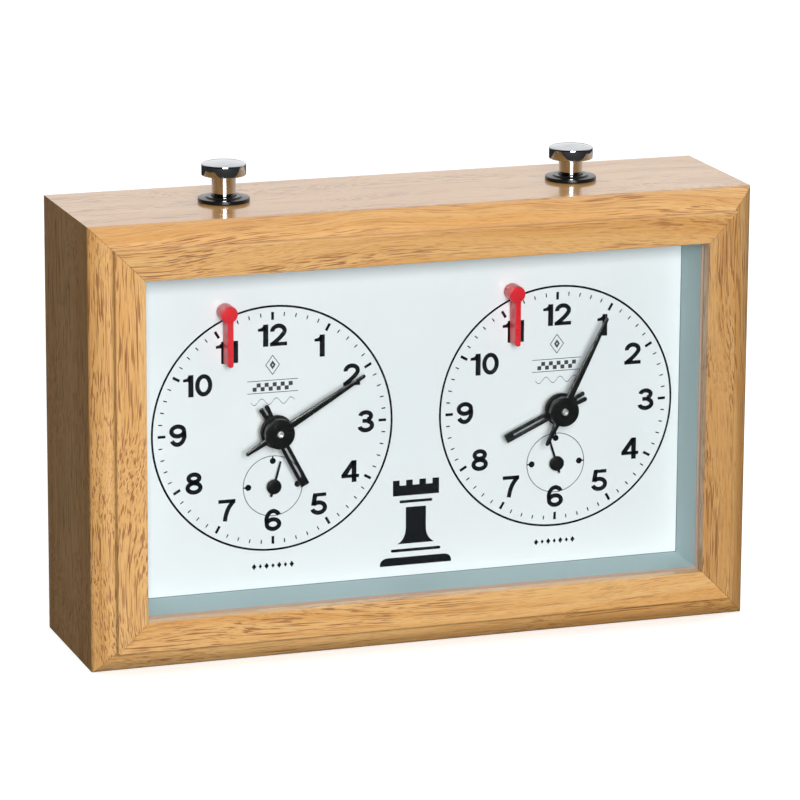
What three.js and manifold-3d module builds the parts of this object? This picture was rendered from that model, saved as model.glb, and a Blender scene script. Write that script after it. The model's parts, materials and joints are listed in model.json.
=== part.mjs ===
// Mechanical chess clock: one long hardwood case that holds two identical clock movements behind one
// glass. Two chrome push buttons stand on a rocker, so pressing one raises the other.
//
// Millimetres. X runs to the right and Z up for someone facing the dials, and Y runs from the front to
// the back. The origin is under the middle of the case, on the surface it stands on.

import * as THREE from 'three';
import { mergeVertices } from 'three/addons/utils/BufferGeometryUtils.js';
import Module from 'manifold-3d';

const wasm = await Module();
wasm.setup();

// ---------------------------------------------------------------------------------------------------
// Driving dimensions
// ---------------------------------------------------------------------------------------------------

const CASE = {
  width: 200,
  height: 129.5,
  bandY: -27,        // the raised flat band that frames the window
  edgeY: -21.6,      // where the sides and the top end and the moulding starts
  backY: 27,
  wall: 9,
  band: 15.2,        // from the outside of the case to the window
  lip: 3.5,          // thickness of the band where it meets the window
  rebate: 4.5,       // wood left outside the back panel
  ledgeY: 16,        // the ledge that the back panel rests on
};
const MITRE_GAP = 0.08;

const GLASS = { frontY: -23.4, backY: -21.6 };
const LINING = { frontY: -21.4, backY: -12.0, frontInset: 15.5, dialInset: 18.1 };
const DIAL = { frontY: -11.9, backY: -10.7 };
const BACK_PANEL = { frontY: 16.1, backY: 18.1 };
const INNER_GAP = 0.4;                     // room between the case walls and what is slid in

const DIAL_X = 43.4;                       // dial centres, left and right of the middle
const DIAL_Z = 65.4;
const SECONDS_Z = -17;                     // the seconds dial, below a dial's centre

const SIDES = [
  { name: 'left', sign: -1, minute: 59.7, hour: 152.4, seconds: 15.8 },
  { name: 'right', sign: 1, minute: 26.6, hour: 245.4, seconds: -17.1 },
];

// Push buttons and the rocker under them
const BUTTON = {
  x: 53,
  y: 3.4,
  stemR: 3.45,
  capR: 6.4,
  rim: 3.1,
  dome: 1.1,
  chamfer: 0.5,
  gap: 5.85,         // from the collar to the cap when the rocker is level
  tipR: 1.6,
  tipGap: 0.25,      // between the tip and the rocker
  shoulder: 0.8,     // from the collar's lower end up to where the stem widens
};
const COLLAR = {
  r: 7.5,
  height: 1.15,
  chamfer: 0.3,
  ringR: 5.3,
  ring: 0.45,
  boreR: 3.66,
  tubeR: 4.5,
  tubeEnd: 120.6,
};
const ROCKER = {
  z: 114,
  half: 59,
  thick: 3,
  frontY: -0.6,
  backY: 7.4,
  bossR: 2.8,
  pinR: 1.2,
  pinOut: 0.4,       // how far the pin stands out of the bracket's ears
  restLift: 0.65,    // the left button stands this much above level, and the right as much below
  springX: [-77.4, 33.2],
  springHalf: 0.3,
  springEnd: 60,
};
const BRACKET = { half: 6, plate: 1.6, earHalf: 3, earFrontY: -2.0, earBackY: 7.7, ear: 1.1, drop: 10.6 };

// Movement: places are measured from a dial's centre, [right, up]
const GREAT = { teeth: 54, module: 0.7, angle: 60, y: [5.8, 7.0], hubR: 3, hubOut: 0.4 };
const CENTRE_PINION = { teeth: 9, y: [5.2, 7.6] };
const CENTRE = { teeth: 48, module: 0.6, y: [-2.6, -1.8], tubeOut: 0.3 };
const THIRD_PINION = { teeth: 6, y: [-3.4, -1.0] };
const THIRD = { teeth: 45, module: 0.55, y: [1.2, 2.0] };
const FOURTH_PINION = { teeth: 6, y: [0.4, 2.8] };
const FOURTH = { teeth: 48, module: 0.45, y: [4.6, 5.4] };
const ESCAPE_PINION = { teeth: 6, y: [3.8, 6.2] };
const ESCAPE = { teeth: 15, r: 6.5, root: 4.9, y: [-1.0, -0.2], angle: 200 };
const LEVER = {
  reach: 9.5,
  angle: 125,
  y: [-1.0, -0.2],
  hubR: 1.7,
  arm: 1.2,
  endR: 0.75,
  pinR: 0.4,
  pinReach: 7.7,
  pinY: [-2.2, -0.2],
  spread: 45,
  fork: 8.8,
  forkWidth: 2.4,
  slot: 1.0,
  slotDepth: 1.2,
};
const BALANCE = {
  reach: 12.5,
  angle: 115,
  r: 9.5,
  rim: 1.3,
  y: [3.5, 4.7],
  spoke: 1.2,
  hubR: 1.7,
  rollerR: 3,
  rollerY: [0.6, 1.2],
  pinR: 0.35,
  pinReach: 2.5,
  pinY: [-1.2, 0.9],
};
const HAIRSPRING = { inner: 2.0, outer: 6.4, turns: 4, thick: 0.25, y: [5.7, 6.5] };
const MAINSPRING = { inner: 4.0, outer: 14.6, turns: 4, thick: 0.5, y: [-0.8, 4.8], drumR: 2.8, postR: 0.9 };
const CANNON = { teeth: 12, module: 0.5, y: [-7.5, -6.1] };
const MINUTE_WHEEL = { teeth: 36, angle: 150, y: [-7.2, -6.5], postR: 1 };
const MINUTE_PINION = { teeth: 10, module: 0.48, y: [-9.8, -7.0] };
const HOUR_WHEEL = { teeth: 40, y: [-9.5, -8.8] };

const PLATE = {
  frontY: -5.7,
  backY: 8.8,
  thick: 1.5,
  left: -36,
  right: 36,
  bottom: -34,
  top: 40,
  pillars: [[-31, -29], [31, -29], [31, 35], [-29, 35]],
  pillarR: 2,
};
const PIVOT_R = 0.6;
const PIVOT_GAP = 0.15;
const PIVOT_INSET = 0.2;                   // from an arbor's end to the outside of its plate
const TOUCH_GAP = 0.1;
const CLEAR_GAP = 0.3;                     // round what passes through the dial plate
const PANEL_GAP = 0.8;                     // round what passes through the back panel
const PAST = 1;                            // how far a cutter runs past what it cuts

// Hands, flags and what is turned at the back
const MINUTE_HAND = {
  y: [-18.3, -17.75],
  hubY: -19.5,
  hubR: 4.4,
  length: 30.2,
  rootHalf: 1.2,
  tipHalf: 0.5,
  tail: 11.4,
  tailHalf: 0.5,
};
const HOUR_HAND = {
  y: [-16.0, -15.5],
  hubY: -16.4,
  hubR: 4.9,
  length: 18.7,
  half: 1.35,
  slotHalf: 0.3,
  slot: [5.6, 16.0],
  tail: 8.6,
  tailHalf: 1.6,
  forkFrom: 5.6,     // the tail is forked from here to its end
};
const SECONDS_HAND = {
  y: [-13.3, -12.9],
  hubY: -13.6,
  hubR: 2.2,
  cover: 0.25,       // closes the front of the hub over the arbor's end
  length: 7.8,
  half: 0.35,
  tail: 3.2,
};
const HOUR_TUBE = { r: 2.7, bore: 1.9, endY: -16.3 };
const ARBOR = { r: 1.2, tubeR: 2.0, sleeveR: 1.6, sleeveY: -17.65, pinR: 1.0, pinY: -19.9 };
const FLAG = {
  x: -14.4,
  z: 35.6,
  y: [-17.45, -12.4],
  headR: 2.45,
  blade: [-0.5, 1.2],                      // left and right edge of the blade, from the pin
  tip: 15.5,
  chamfer: 0.6,
  face: 1.2,                               // solid front of the head, before the pin's bore
  boreR: 0.95,
  pinR: 0.8,
};
const KNOB = { r: 5, y: [20.2, 25.2] };
const KEY = {
  arborR: 1.6,
  collarR: 3.0,
  wingR: 3.3,
  wingX: 5.2,
  wing: 1.8,
  webHalf: 2.0,
  y: [19.4, 26.4],
};
const SCREW = {
  x: 70,
  inset: 6.75,
  headR: 2.1,
  head: 1.2,
  slot: 0.6,
  shankR: 1.0,
  holeR: 1.2,
  depth: 9,
};

// ---------------------------------------------------------------------------------------------------
// Materials
// ---------------------------------------------------------------------------------------------------

const material = (color, roughness, metalness) =>
  new THREE.MeshStandardMaterial({ color, roughness, metalness });

const WOOD = material(0xc08a4a, 0.38, 0);
const GLASS_PANE = new THREE.MeshStandardMaterial({
  color: 0xf4f8f8,
  roughness: 0.03,
  metalness: 0,
  transparent: true,
  opacity: 0.2,
});
const CARD = material(0x8793a3, 0.8, 0);
const WHITE_ENAMEL = material(0xeff1f4, 0.12, 0);
const CHROME = material(0xd5d7da, 0.08, 1);
const BLACK = material(0x141414, 0.3, 0);
const RED = material(0xd2141e, 0.3, 0);
const BRASS = material(0xc6a050, 0.3, 1);
const STEEL = material(0x9a9c9e, 0.35, 1);
const BLUED_STEEL = material(0x33415f, 0.3, 1);
const BLACK_BOARD = material(0x2b2a29, 0.5, 0);

// ---------------------------------------------------------------------------------------------------
// Solids
// ---------------------------------------------------------------------------------------------------

/** A manifold-3d solid from a closed three.js geometry. */
function solid(geometry) {
  const bare = geometry.clone();
  bare.deleteAttribute('normal');
  bare.deleteAttribute('uv');
  const merged = mergeVertices(bare, 1e-4);
  const mesh = new wasm.Mesh({
    numProp: 3,
    vertProperties: new Float32Array(merged.attributes.position.array),
    triVerts: new Uint32Array(merged.index.array),
  });
  return new wasm.Manifold(mesh);
}

/** A three.js geometry from a manifold-3d solid. */
function geometryOf(body) {
  const mesh = body.getMesh();
  const geometry = new THREE.BufferGeometry();
  geometry.setAttribute('position', new THREE.BufferAttribute(mesh.vertProperties, 3));
  geometry.setIndex(new THREE.BufferAttribute(mesh.triVerts, 1));
  return geometry;
}

/** Joins pieces into one body. */
function join(...pieces) {
  let body = solid(pieces[0]);
  for (const piece of pieces.slice(1)) {
    body = body.add(solid(piece));
  }
  return geometryOf(body);
}

/** Takes cutters out of a piece. */
function cut(piece, ...cutters) {
  let body = solid(piece);
  for (const cutter of cutters) {
    body = body.subtract(solid(cutter));
  }
  return geometryOf(body);
}

/** A shape drawn in X and Z, as seen from the front, made solid from depth y0 back to y1. */
function slab(shape, [y0, y1]) {
  const settings = { depth: y1 - y0, bevelEnabled: false, curveSegments: 14 };
  const geometry = new THREE.ExtrudeGeometry(shape, settings);
  return geometry.rotateX(Math.PI / 2).translate(0, y1, 0);
}

/** A round bar along Y at (x, z). */
function rod(r, [y0, y1], x = 0, z = 0, segments = 12) {
  const geometry = new THREE.CylinderGeometry(r, r, y1 - y0, segments);
  return geometry.translate(x, (y0 + y1) / 2, z);
}

/** Depths that run past both ends of a stretch. */
function past([y0, y1]) {
  return [y0 - PAST, y1 + PAST];
}

/** A box between two corners. */
function box([x0, y0, z0], [x1, y1, z1]) {
  const geometry = new THREE.BoxGeometry(x1 - x0, y1 - y0, z1 - z0);
  return geometry.translate((x0 + x1) / 2, (y0 + y1) / 2, (z0 + z1) / 2);
}

/** A straight bar in the XZ plane from one point to another. */
function bar([x0, z0], [x1, z1], width, [y0, y1]) {
  const length = Math.hypot(x1 - x0, z1 - z0);
  const geometry = new THREE.BoxGeometry(length, y1 - y0, width);
  geometry.rotateY(-Math.atan2(z1 - z0, x1 - x0));
  return geometry.translate((x0 + x1) / 2, (y0 + y1) / 2, (z0 + z1) / 2);
}

/** A closed shape through the points of a list. */
function outline(points) {
  return new THREE.Shape(points.map(([x, y]) => new THREE.Vector2(x, y)));
}

const degrees = THREE.MathUtils.degToRad;

/** The point at a distance and an angle from another, anticlockwise from the right. */
function polar([x, z], reach, angle) {
  return [x + reach * Math.cos(degrees(angle)), z + reach * Math.sin(degrees(angle))];
}

// ---------------------------------------------------------------------------------------------------
// Gears
// ---------------------------------------------------------------------------------------------------

const WHEEL_TOOTH = { addendum: 0.85, dedendum: 1.0, tip: 0.2 };
const LEAF = { addendum: 0.5, dedendum: 1.25, tip: 0.14, root: 0.36 };

/** Outline of a wheel: blunt teeth that meet at a point between them. phase is one tooth's angle. */
function wheelShape(teeth, module, phase) {
  const pitch = 2 * Math.PI / teeth;
  const tipR = module * (teeth / 2 + WHEEL_TOOTH.addendum);
  const rootR = module * (teeth / 2 - WHEEL_TOOTH.dedendum);
  const points = [];
  for (let i = 0; i < teeth; i += 1) {
    const middle = phase + i * pitch;
    for (const [r, share] of [[tipR, -WHEEL_TOOTH.tip / 2], [tipR, WHEEL_TOOTH.tip / 2], [rootR, 0.5]]) {
      const angle = middle + share * pitch;
      points.push([r * Math.cos(angle), r * Math.sin(angle)]);
    }
  }
  return outline(points);
}

/** Outline of a pinion: slender leaves with a round bottom between them. */
function pinionShape(teeth, module, phase) {
  const pitch = 2 * Math.PI / teeth;
  const tipR = module * (teeth / 2 + LEAF.addendum);
  const rootR = module * (teeth / 2 - LEAF.dedendum);
  const [tip, root] = [LEAF.tip / 2, LEAF.root / 2];
  const corners = [[rootR, -root], [tipR, -tip], [tipR, tip], [rootR, root]];
  const points = [];
  for (let i = 0; i < teeth; i += 1) {
    for (const [r, share] of corners) {
      const angle = phase + (i + share) * pitch;
      points.push([r * Math.cos(angle), r * Math.sin(angle)]);
    }
  }
  return outline(points);
}

/** Distance between the centres of two meshed gears. */
function centreDistance(module, teethA, teethB) {
  return module * (teethA + teethB) / 2;
}

/** The phase a gear needs at a place, so that it meshes with a gear of phase 0 at another place. */
function meshPhase(fromPlace, fromTeeth, toPlace, toTeeth) {
  const line = Math.atan2(toPlace[1] - fromPlace[1], toPlace[0] - fromPlace[0]);
  const turned = -line * fromTeeth / (2 * Math.PI);
  return line + Math.PI + (0.5 - turned) * 2 * Math.PI / toTeeth;
}

// Places of the arbors
const AT_CENTRE = [0, 0];
const AT_GREAT = polar(
  AT_CENTRE,
  centreDistance(GREAT.module, GREAT.teeth, CENTRE_PINION.teeth),
  GREAT.angle,
);
const AT_FOURTH = [0, SECONDS_Z];
const AT_THIRD = thirdPlace();
const AT_ESCAPE = polar(
  AT_FOURTH,
  centreDistance(FOURTH.module, FOURTH.teeth, ESCAPE_PINION.teeth),
  ESCAPE.angle,
);
const AT_LEVER = polar(AT_ESCAPE, LEVER.reach, LEVER.angle);
const AT_BALANCE = polar(AT_LEVER, BALANCE.reach, BALANCE.angle);
const AT_MINUTE = polar(
  AT_CENTRE,
  centreDistance(CANNON.module, CANNON.teeth, MINUTE_WHEEL.teeth),
  MINUTE_WHEEL.angle,
);

/** Where the third arbor stands: in mesh with the centre wheel and with the fourth pinion. */
function thirdPlace() {
  const toCentre = centreDistance(CENTRE.module, CENTRE.teeth, THIRD_PINION.teeth);
  const toFourth = centreDistance(THIRD.module, THIRD.teeth, FOURTH_PINION.teeth);
  const z = (SECONDS_Z ** 2 + toCentre ** 2 - toFourth ** 2) / (2 * SECONDS_Z);
  return [Math.sqrt(toCentre ** 2 - z ** 2), z];
}

/** A spiral strip wound round the origin. */
function spiral({ inner, outer, turns, thick, y }, segmentsPerTurn) {
  const count = turns * segmentsPerTurn;
  const along = (i, offset) => {
    const angle = 2 * Math.PI * i / segmentsPerTurn;
    const r = inner + (outer - inner) * i / count + offset;
    return [r * Math.cos(angle), r * Math.sin(angle)];
  };
  const points = [];
  for (let i = 0; i <= count; i += 1) {
    points.push(along(i, thick / 2));
  }
  for (let i = count; i >= 0; i -= 1) {
    points.push(along(i, -thick / 2));
  }
  return slab(outline(points), y);
}

// ---------------------------------------------------------------------------------------------------
// Case
// ---------------------------------------------------------------------------------------------------

/** Cross-section of a case board: x is the depth Y, and y is the distance in from the outside. */
function boardProfile() {
  const front = (inset, rise) => [CASE.edgeY - rise, inset];
  const lipBackY = CASE.bandY + CASE.lip;
  return outline([
    [CASE.backY, 0],
    front(0, -1.5),
    front(0.12, -0.8),
    front(0.5, -0.2),
    front(1.3, 0.3),
    front(2.4, 1.15),
    front(3.5, 1.85),
    front(4.6, 2.4),
    front(5.4, 2.7),
    front(6.0, 3.1),
    front(6.3, 3.6),
    front(6.3, 5.0),
    front(6.45, 5.28),
    [CASE.bandY, 6.8],
    [CASE.bandY, CASE.band],
    [lipBackY, CASE.band],
    [lipBackY, CASE.wall],
    [CASE.ledgeY, CASE.wall],
    [CASE.ledgeY, CASE.rebate],
    [CASE.backY, CASE.rebate],
  ]);
}

/** A board lying along X with its outside at z = 0 and both ends mitred. */
function board(length) {
  const geometry = new THREE.ExtrudeGeometry(boardProfile(), { depth: 1, bevelEnabled: false });
  const position = geometry.attributes.position;
  for (let i = 0; i < position.count; i += 1) {
    const [depth, inset, end] = [position.getX(i), position.getY(i), position.getZ(i)];
    const reach = length / 2 - inset - MITRE_GAP;
    position.setXYZ(i, end > 0.5 ? reach : -reach, depth, inset);
  }
  return geometry;
}

/** Holes for the back panel's screws in a long board. */
function screwHoles() {
  const depth = [CASE.ledgeY - SCREW.depth, CASE.ledgeY + PAST];
  return [-SCREW.x, SCREW.x].map((x) => rod(SCREW.holeR, depth, x, SCREW.inset, 8));
}

/** Holes for the buttons' collars in the top board. */
function collarHoles() {
  const r = COLLAR.tubeR + TOUCH_GAP;
  return [-BUTTON.x, BUTTON.x].map((x) => {
    const hole = new THREE.CylinderGeometry(r, r, CASE.wall * 3, 24);
    return hole.rotateX(Math.PI / 2).translate(x, BUTTON.y, 0);
  });
}

/** Glass: a plain pane behind the window's lip. */
function windowGlass() {
  const half = CASE.width / 2 - CASE.wall - INNER_GAP;
  const low = CASE.wall + INNER_GAP;
  return box([-half, GLASS.frontY, low], [half, GLASS.backY, CASE.height - low]);
}

/** Lining: a frame between the glass and the dial plate, whose inside narrows towards the dials. */
function liningFrame() {
  const half = CASE.width / 2 - CASE.wall - INNER_GAP;
  const low = CASE.wall + INNER_GAP;
  const body = box([-half, LINING.frontY, low], [half, LINING.backY, CASE.height - low]);
  const opening = new THREE.BoxGeometry(1, 1, 1);
  const position = opening.attributes.position;
  const slope = (LINING.dialInset - LINING.frontInset) / (LINING.backY - LINING.frontY);
  for (let i = 0; i < position.count; i += 1) {
    const front = position.getY(i) < 0;
    const inset = front ? LINING.frontInset - slope * PAST : LINING.dialInset + slope * PAST;
    const x = Math.sign(position.getX(i)) * (CASE.width / 2 - inset);
    const z = position.getZ(i) < 0 ? inset : CASE.height - inset;
    position.setXYZ(i, x, front ? LINING.frontY - PAST : LINING.backY + PAST, z);
  }
  return cut(body, opening);
}

/** Dial plate: one white plate for both clocks, drilled for the hands' tubes and arbors. */
function dialPlate() {
  const half = CASE.width / 2 - CASE.wall - INNER_GAP;
  const low = CASE.wall + INNER_GAP;
  const depth = past([DIAL.frontY, DIAL.backY]);
  const holes = SIDES.flatMap(({ sign }) => [
    rod(HOUR_TUBE.r + CLEAR_GAP, depth, sign * DIAL_X, DIAL_Z, 16),
    rod(PIVOT_R + CLEAR_GAP, depth, sign * DIAL_X, DIAL_Z + SECONDS_Z, 8),
    rod(FLAG.pinR + TOUCH_GAP, depth, sign * DIAL_X + FLAG.x, DIAL_Z + FLAG.z, 8),
  ]);
  return cut(box([-half, DIAL.frontY, low], [half, DIAL.backY, CASE.height - low]), ...holes);
}

/** Back panel: closes the case, with holes for the winding keys, the setting knobs and the screws. */
function backPanel() {
  const half = CASE.width / 2 - CASE.rebate - INNER_GAP;
  const low = CASE.rebate + INNER_GAP;
  const depth = past([BACK_PANEL.frontY, BACK_PANEL.backY]);
  const holes = SIDES.flatMap(({ sign }) => [
    rod(ARBOR.r + PANEL_GAP, depth, sign * DIAL_X, DIAL_Z, 12),
    rod(KEY.arborR + PANEL_GAP, depth, sign * DIAL_X + AT_GREAT[0], DIAL_Z + AT_GREAT[1], 12),
  ]);
  for (const x of [-SCREW.x, SCREW.x]) {
    for (const z of [SCREW.inset, CASE.height - SCREW.inset]) {
      holes.push(rod(SCREW.holeR, depth, x, z, 8));
    }
  }
  return cut(box([-half, BACK_PANEL.frontY, low], [half, BACK_PANEL.backY, CASE.height - low]), ...holes);
}

/** A slotted screw that holds the back panel. */
function backScrew() {
  const headY = BACK_PANEL.backY + TOUCH_GAP;
  const top = headY + SCREW.head;
  const head = rod(SCREW.headR, [headY, top], 0, 0, 16);
  const shank = rod(SCREW.shankR, [CASE.ledgeY - SCREW.depth + PAST, headY + SCREW.head / 4], 0, 0, 8);
  const reach = SCREW.headR + PAST;
  const slot = bar([-reach, 0], [reach, 0], SCREW.slot, [top - SCREW.slot, top + PAST]);
  return cut(join(head, shank), slot);
}

// ---------------------------------------------------------------------------------------------------
// Buttons and rocker
// ---------------------------------------------------------------------------------------------------

const COLLAR_TOP = CASE.height + COLLAR.height;

/** Push button: a domed cap on a stem, and the thin tip that stands on the rocker. */
function pushButton() {
  const under = COLLAR_TOP + BUTTON.gap;
  const shoulder = COLLAR.tubeEnd + BUTTON.shoulder;
  const tip = ROCKER.z + ROCKER.thick / 2 + BUTTON.tipGap;
  const points = [
    [0, tip],
    [BUTTON.tipR, tip],
    [BUTTON.tipR, shoulder],
    [BUTTON.stemR, shoulder],
    [BUTTON.stemR, under],
    [BUTTON.capR, under],
    [BUTTON.capR, under + BUTTON.rim - BUTTON.chamfer],
    [BUTTON.capR - BUTTON.chamfer, under + BUTTON.rim],
    [BUTTON.capR * 2 / 3, under + BUTTON.rim + BUTTON.dome * 5 / 9],
    [BUTTON.capR / 3, under + BUTTON.rim + BUTTON.dome * 8 / 9],
    [0, under + BUTTON.rim + BUTTON.dome],
  ].map(([r, z]) => new THREE.Vector2(r, z));
  return new THREE.LatheGeometry(points, 24).rotateX(Math.PI / 2);
}

/** Collar: a washer with a raised ring, on a tube that lines the hole in the top board. */
function buttonCollar() {
  const seat = CASE.height + TOUCH_GAP / 2;
  const points = [
    [COLLAR.boreR, COLLAR.tubeEnd],
    [COLLAR.tubeR, COLLAR.tubeEnd],
    [COLLAR.tubeR, seat],
    [COLLAR.r, seat],
    [COLLAR.r, COLLAR_TOP - COLLAR.chamfer],
    [COLLAR.r - COLLAR.chamfer, COLLAR_TOP],
    [COLLAR.ringR, COLLAR_TOP],
    [COLLAR.ringR - COLLAR.chamfer, COLLAR_TOP + COLLAR.ring],
    [COLLAR.boreR, COLLAR_TOP + COLLAR.ring],
    [COLLAR.boreR, COLLAR.tubeEnd],
  ].map(([r, z]) => new THREE.Vector2(r, z));
  return new THREE.LatheGeometry(points, 24).rotateX(Math.PI / 2);
}

/** Rocker: a bar with a boss for its pin and two flat springs that reach down beside the balances. */
function rockerBar() {
  const half = ROCKER.thick / 2;
  const spring = ROCKER.springHalf;
  const depth = [ROCKER.frontY, ROCKER.backY];
  const [springFront, springBack] = [BALANCE.y[0] + TOUCH_GAP, BALANCE.y[1] - TOUCH_GAP];
  const arm = box([-ROCKER.half, depth[0], -half], [ROCKER.half, depth[1], half]);
  const boss = rod(ROCKER.bossR, depth, 0, 0, 16);
  const springs = ROCKER.springX.map((x) =>
    box([x - spring, springFront, ROCKER.springEnd - ROCKER.z], [x + spring, springBack, half]));
  const [outermost] = ROCKER.springX;
  const reach = box([outermost - spring, springFront, -half], [-ROCKER.half + PAST, springBack + PAST, half]);
  const bore = rod(ROCKER.pinR + TOUCH_GAP, past(depth), 0, 0, 16);
  return cut(join(arm, boss, reach, ...springs), bore);
}

/** Bracket: two ears on a plate under the top board. */
function rockerBracket() {
  const top = CASE.height - CASE.wall - TOUCH_GAP;
  const low = top - BRACKET.drop;
  const [front, back] = [BRACKET.earFrontY, BRACKET.earBackY];
  const plate = box([-BRACKET.half, front, top - BRACKET.plate], [BRACKET.half, back + BRACKET.ear, top]);
  const ears = [front, back].map((y) =>
    box([-BRACKET.earHalf, y, low], [BRACKET.earHalf, y + BRACKET.ear, top]));
  const bore = rod(ROCKER.pinR + TOUCH_GAP, past([front, back + BRACKET.ear]), 0, ROCKER.z, 16);
  return cut(join(plate, ...ears), bore);
}

/** Pin that the rocker turns on. */
function rockerPin() {
  const depth = [BRACKET.earFrontY - ROCKER.pinOut, BRACKET.earBackY + BRACKET.ear + ROCKER.pinOut];
  return rod(ROCKER.pinR, depth, 0, ROCKER.z, 16);
}

// ---------------------------------------------------------------------------------------------------
// Movement
// ---------------------------------------------------------------------------------------------------

const PLATE_FRONT = [PLATE.frontY, PLATE.frontY + PLATE.thick];
const PLATE_BACK = [PLATE.backY, PLATE.backY + PLATE.thick];
const PIVOTS = [AT_THIRD, AT_FOURTH, AT_ESCAPE, AT_LEVER, AT_BALANCE];

/** Holes for all the arbors of a movement. */
function pivotHoles(plateY) {
  const depth = past(plateY);
  return [
    ...PIVOTS.map(([x, z]) => rod(PIVOT_R + PIVOT_GAP, depth, x, z, 8)),
    rod(ARBOR.r + PIVOT_GAP, depth, 0, 0, 12),
    rod(KEY.arborR + PIVOT_GAP, depth, ...AT_GREAT, 12),
  ];
}

/** Front plate, with the pillars, the posts that carry the dial plate and the minute wheel's post. */
function frontPlate() {
  const [y0, y1] = PLATE_FRONT;
  const plate = box([PLATE.left, y0, PLATE.bottom], [PLATE.right, y1, PLATE.top]);
  const pillarY = [DIAL.backY + TOUCH_GAP, PLATE.backY - TOUCH_GAP];
  const pillars = PLATE.pillars.map(([x, z]) => rod(PLATE.pillarR, pillarY, x, z, 10));
  const minutePost = rod(MINUTE_WHEEL.postR, [MINUTE_PINION.y[0] - CLEAR_GAP, y1], ...AT_MINUTE, 10);
  const springEnd = [AT_GREAT[0], AT_GREAT[1] + MAINSPRING.outer + MAINSPRING.postR + MAINSPRING.thick];
  const springPost = rod(MAINSPRING.postR, [y0, MAINSPRING.y[1]], ...springEnd, 8);
  return cut(join(plate, ...pillars, minutePost, springPost), ...pivotHoles(PLATE_FRONT));
}

/** Back plate, with feet that reach the back panel. */
function backPlate() {
  const [y0, y1] = PLATE_BACK;
  const plate = box([PLATE.left, y0, PLATE.bottom], [PLATE.right, y1, PLATE.top]);
  const footY = [y0, BACK_PANEL.frontY - TOUCH_GAP];
  const feet = PLATE.pillars.map(([x, z]) => rod(PLATE.pillarR, footY, x, z, 10));
  return cut(join(plate, ...feet), ...pivotHoles(PLATE_BACK));
}

/** An arbor whose ends run in both plates. */
function arbor(frontY = PLATE.frontY + PIVOT_INSET) {
  return rod(PIVOT_R, [frontY, PLATE_BACK[1] - PIVOT_INSET], 0, 0, 8);
}

/** Great wheel: driven by the mainspring, free on the winding arbor. */
function greatWheel() {
  const wheel = slab(wheelShape(GREAT.teeth, GREAT.module, 0), GREAT.y);
  const hubY = [GREAT.y[0] - GREAT.hubOut, GREAT.y[1] + GREAT.hubOut];
  const hub = rod(GREAT.hubR, hubY, 0, 0, 12);
  const bore = rod(KEY.arborR + PIVOT_GAP, past(hubY), 0, 0, 12);
  return cut(join(wheel, hub), bore);
}

/** Centre wheel and its pinion on a tube that slips on the setting arbor. */
function centerWheel() {
  const phase = meshPhase(AT_GREAT, GREAT.teeth, AT_CENTRE, CENTRE_PINION.teeth);
  const wheel = slab(wheelShape(CENTRE.teeth, CENTRE.module, 0), CENTRE.y);
  const pinion = slab(pinionShape(CENTRE_PINION.teeth, GREAT.module, phase), CENTRE_PINION.y);
  const tubeY = [CENTRE.y[0] - CENTRE.tubeOut, CENTRE_PINION.y[1] + CENTRE.tubeOut];
  const tube = rod(ARBOR.tubeR, tubeY, 0, 0, 12);
  const bore = rod(ARBOR.r + PIVOT_GAP, past(tubeY), 0, 0, 12);
  return cut(join(wheel, pinion, tube), bore);
}

/** Third wheel, pinion and arbor. */
function thirdWheel() {
  const phase = meshPhase(AT_CENTRE, CENTRE.teeth, AT_THIRD, THIRD_PINION.teeth);
  const wheel = slab(wheelShape(THIRD.teeth, THIRD.module, 0), THIRD.y);
  const pinion = slab(pinionShape(THIRD_PINION.teeth, CENTRE.module, phase), THIRD_PINION.y);
  return join(wheel, pinion, arbor());
}

/** Fourth wheel, pinion and the long arbor that carries the seconds hand. */
function fourthWheel() {
  const phase = meshPhase(AT_THIRD, THIRD.teeth, AT_FOURTH, FOURTH_PINION.teeth);
  const wheel = slab(wheelShape(FOURTH.teeth, FOURTH.module, 0), FOURTH.y);
  const pinion = slab(pinionShape(FOURTH_PINION.teeth, THIRD.module, phase), FOURTH_PINION.y);
  return join(wheel, pinion, arbor(SECONDS_HAND.hubY + SECONDS_HAND.cover + TOUCH_GAP));
}

/** Escape wheel: raked teeth, with its pinion and arbor. */
function escapeWheel() {
  const phase = meshPhase(AT_FOURTH, FOURTH.teeth, AT_ESCAPE, ESCAPE_PINION.teeth);
  const pitch = 360 / ESCAPE.teeth;
  const tooth = [[ESCAPE.root, -0.34], [ESCAPE.r, -0.06], [ESCAPE.r, 0.06], [ESCAPE.root, 0.1]];
  const points = [];
  for (let i = 0; i < ESCAPE.teeth; i += 1) {
    for (const [r, share] of tooth) {
      points.push(polar([0, 0], r, (i + share) * pitch));
    }
  }
  const wheel = slab(outline(points), ESCAPE.y);
  const pinion = slab(pinionShape(ESCAPE_PINION.teeth, FOURTH.module, phase), ESCAPE_PINION.y);
  return join(wheel, pinion, arbor());
}

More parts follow.
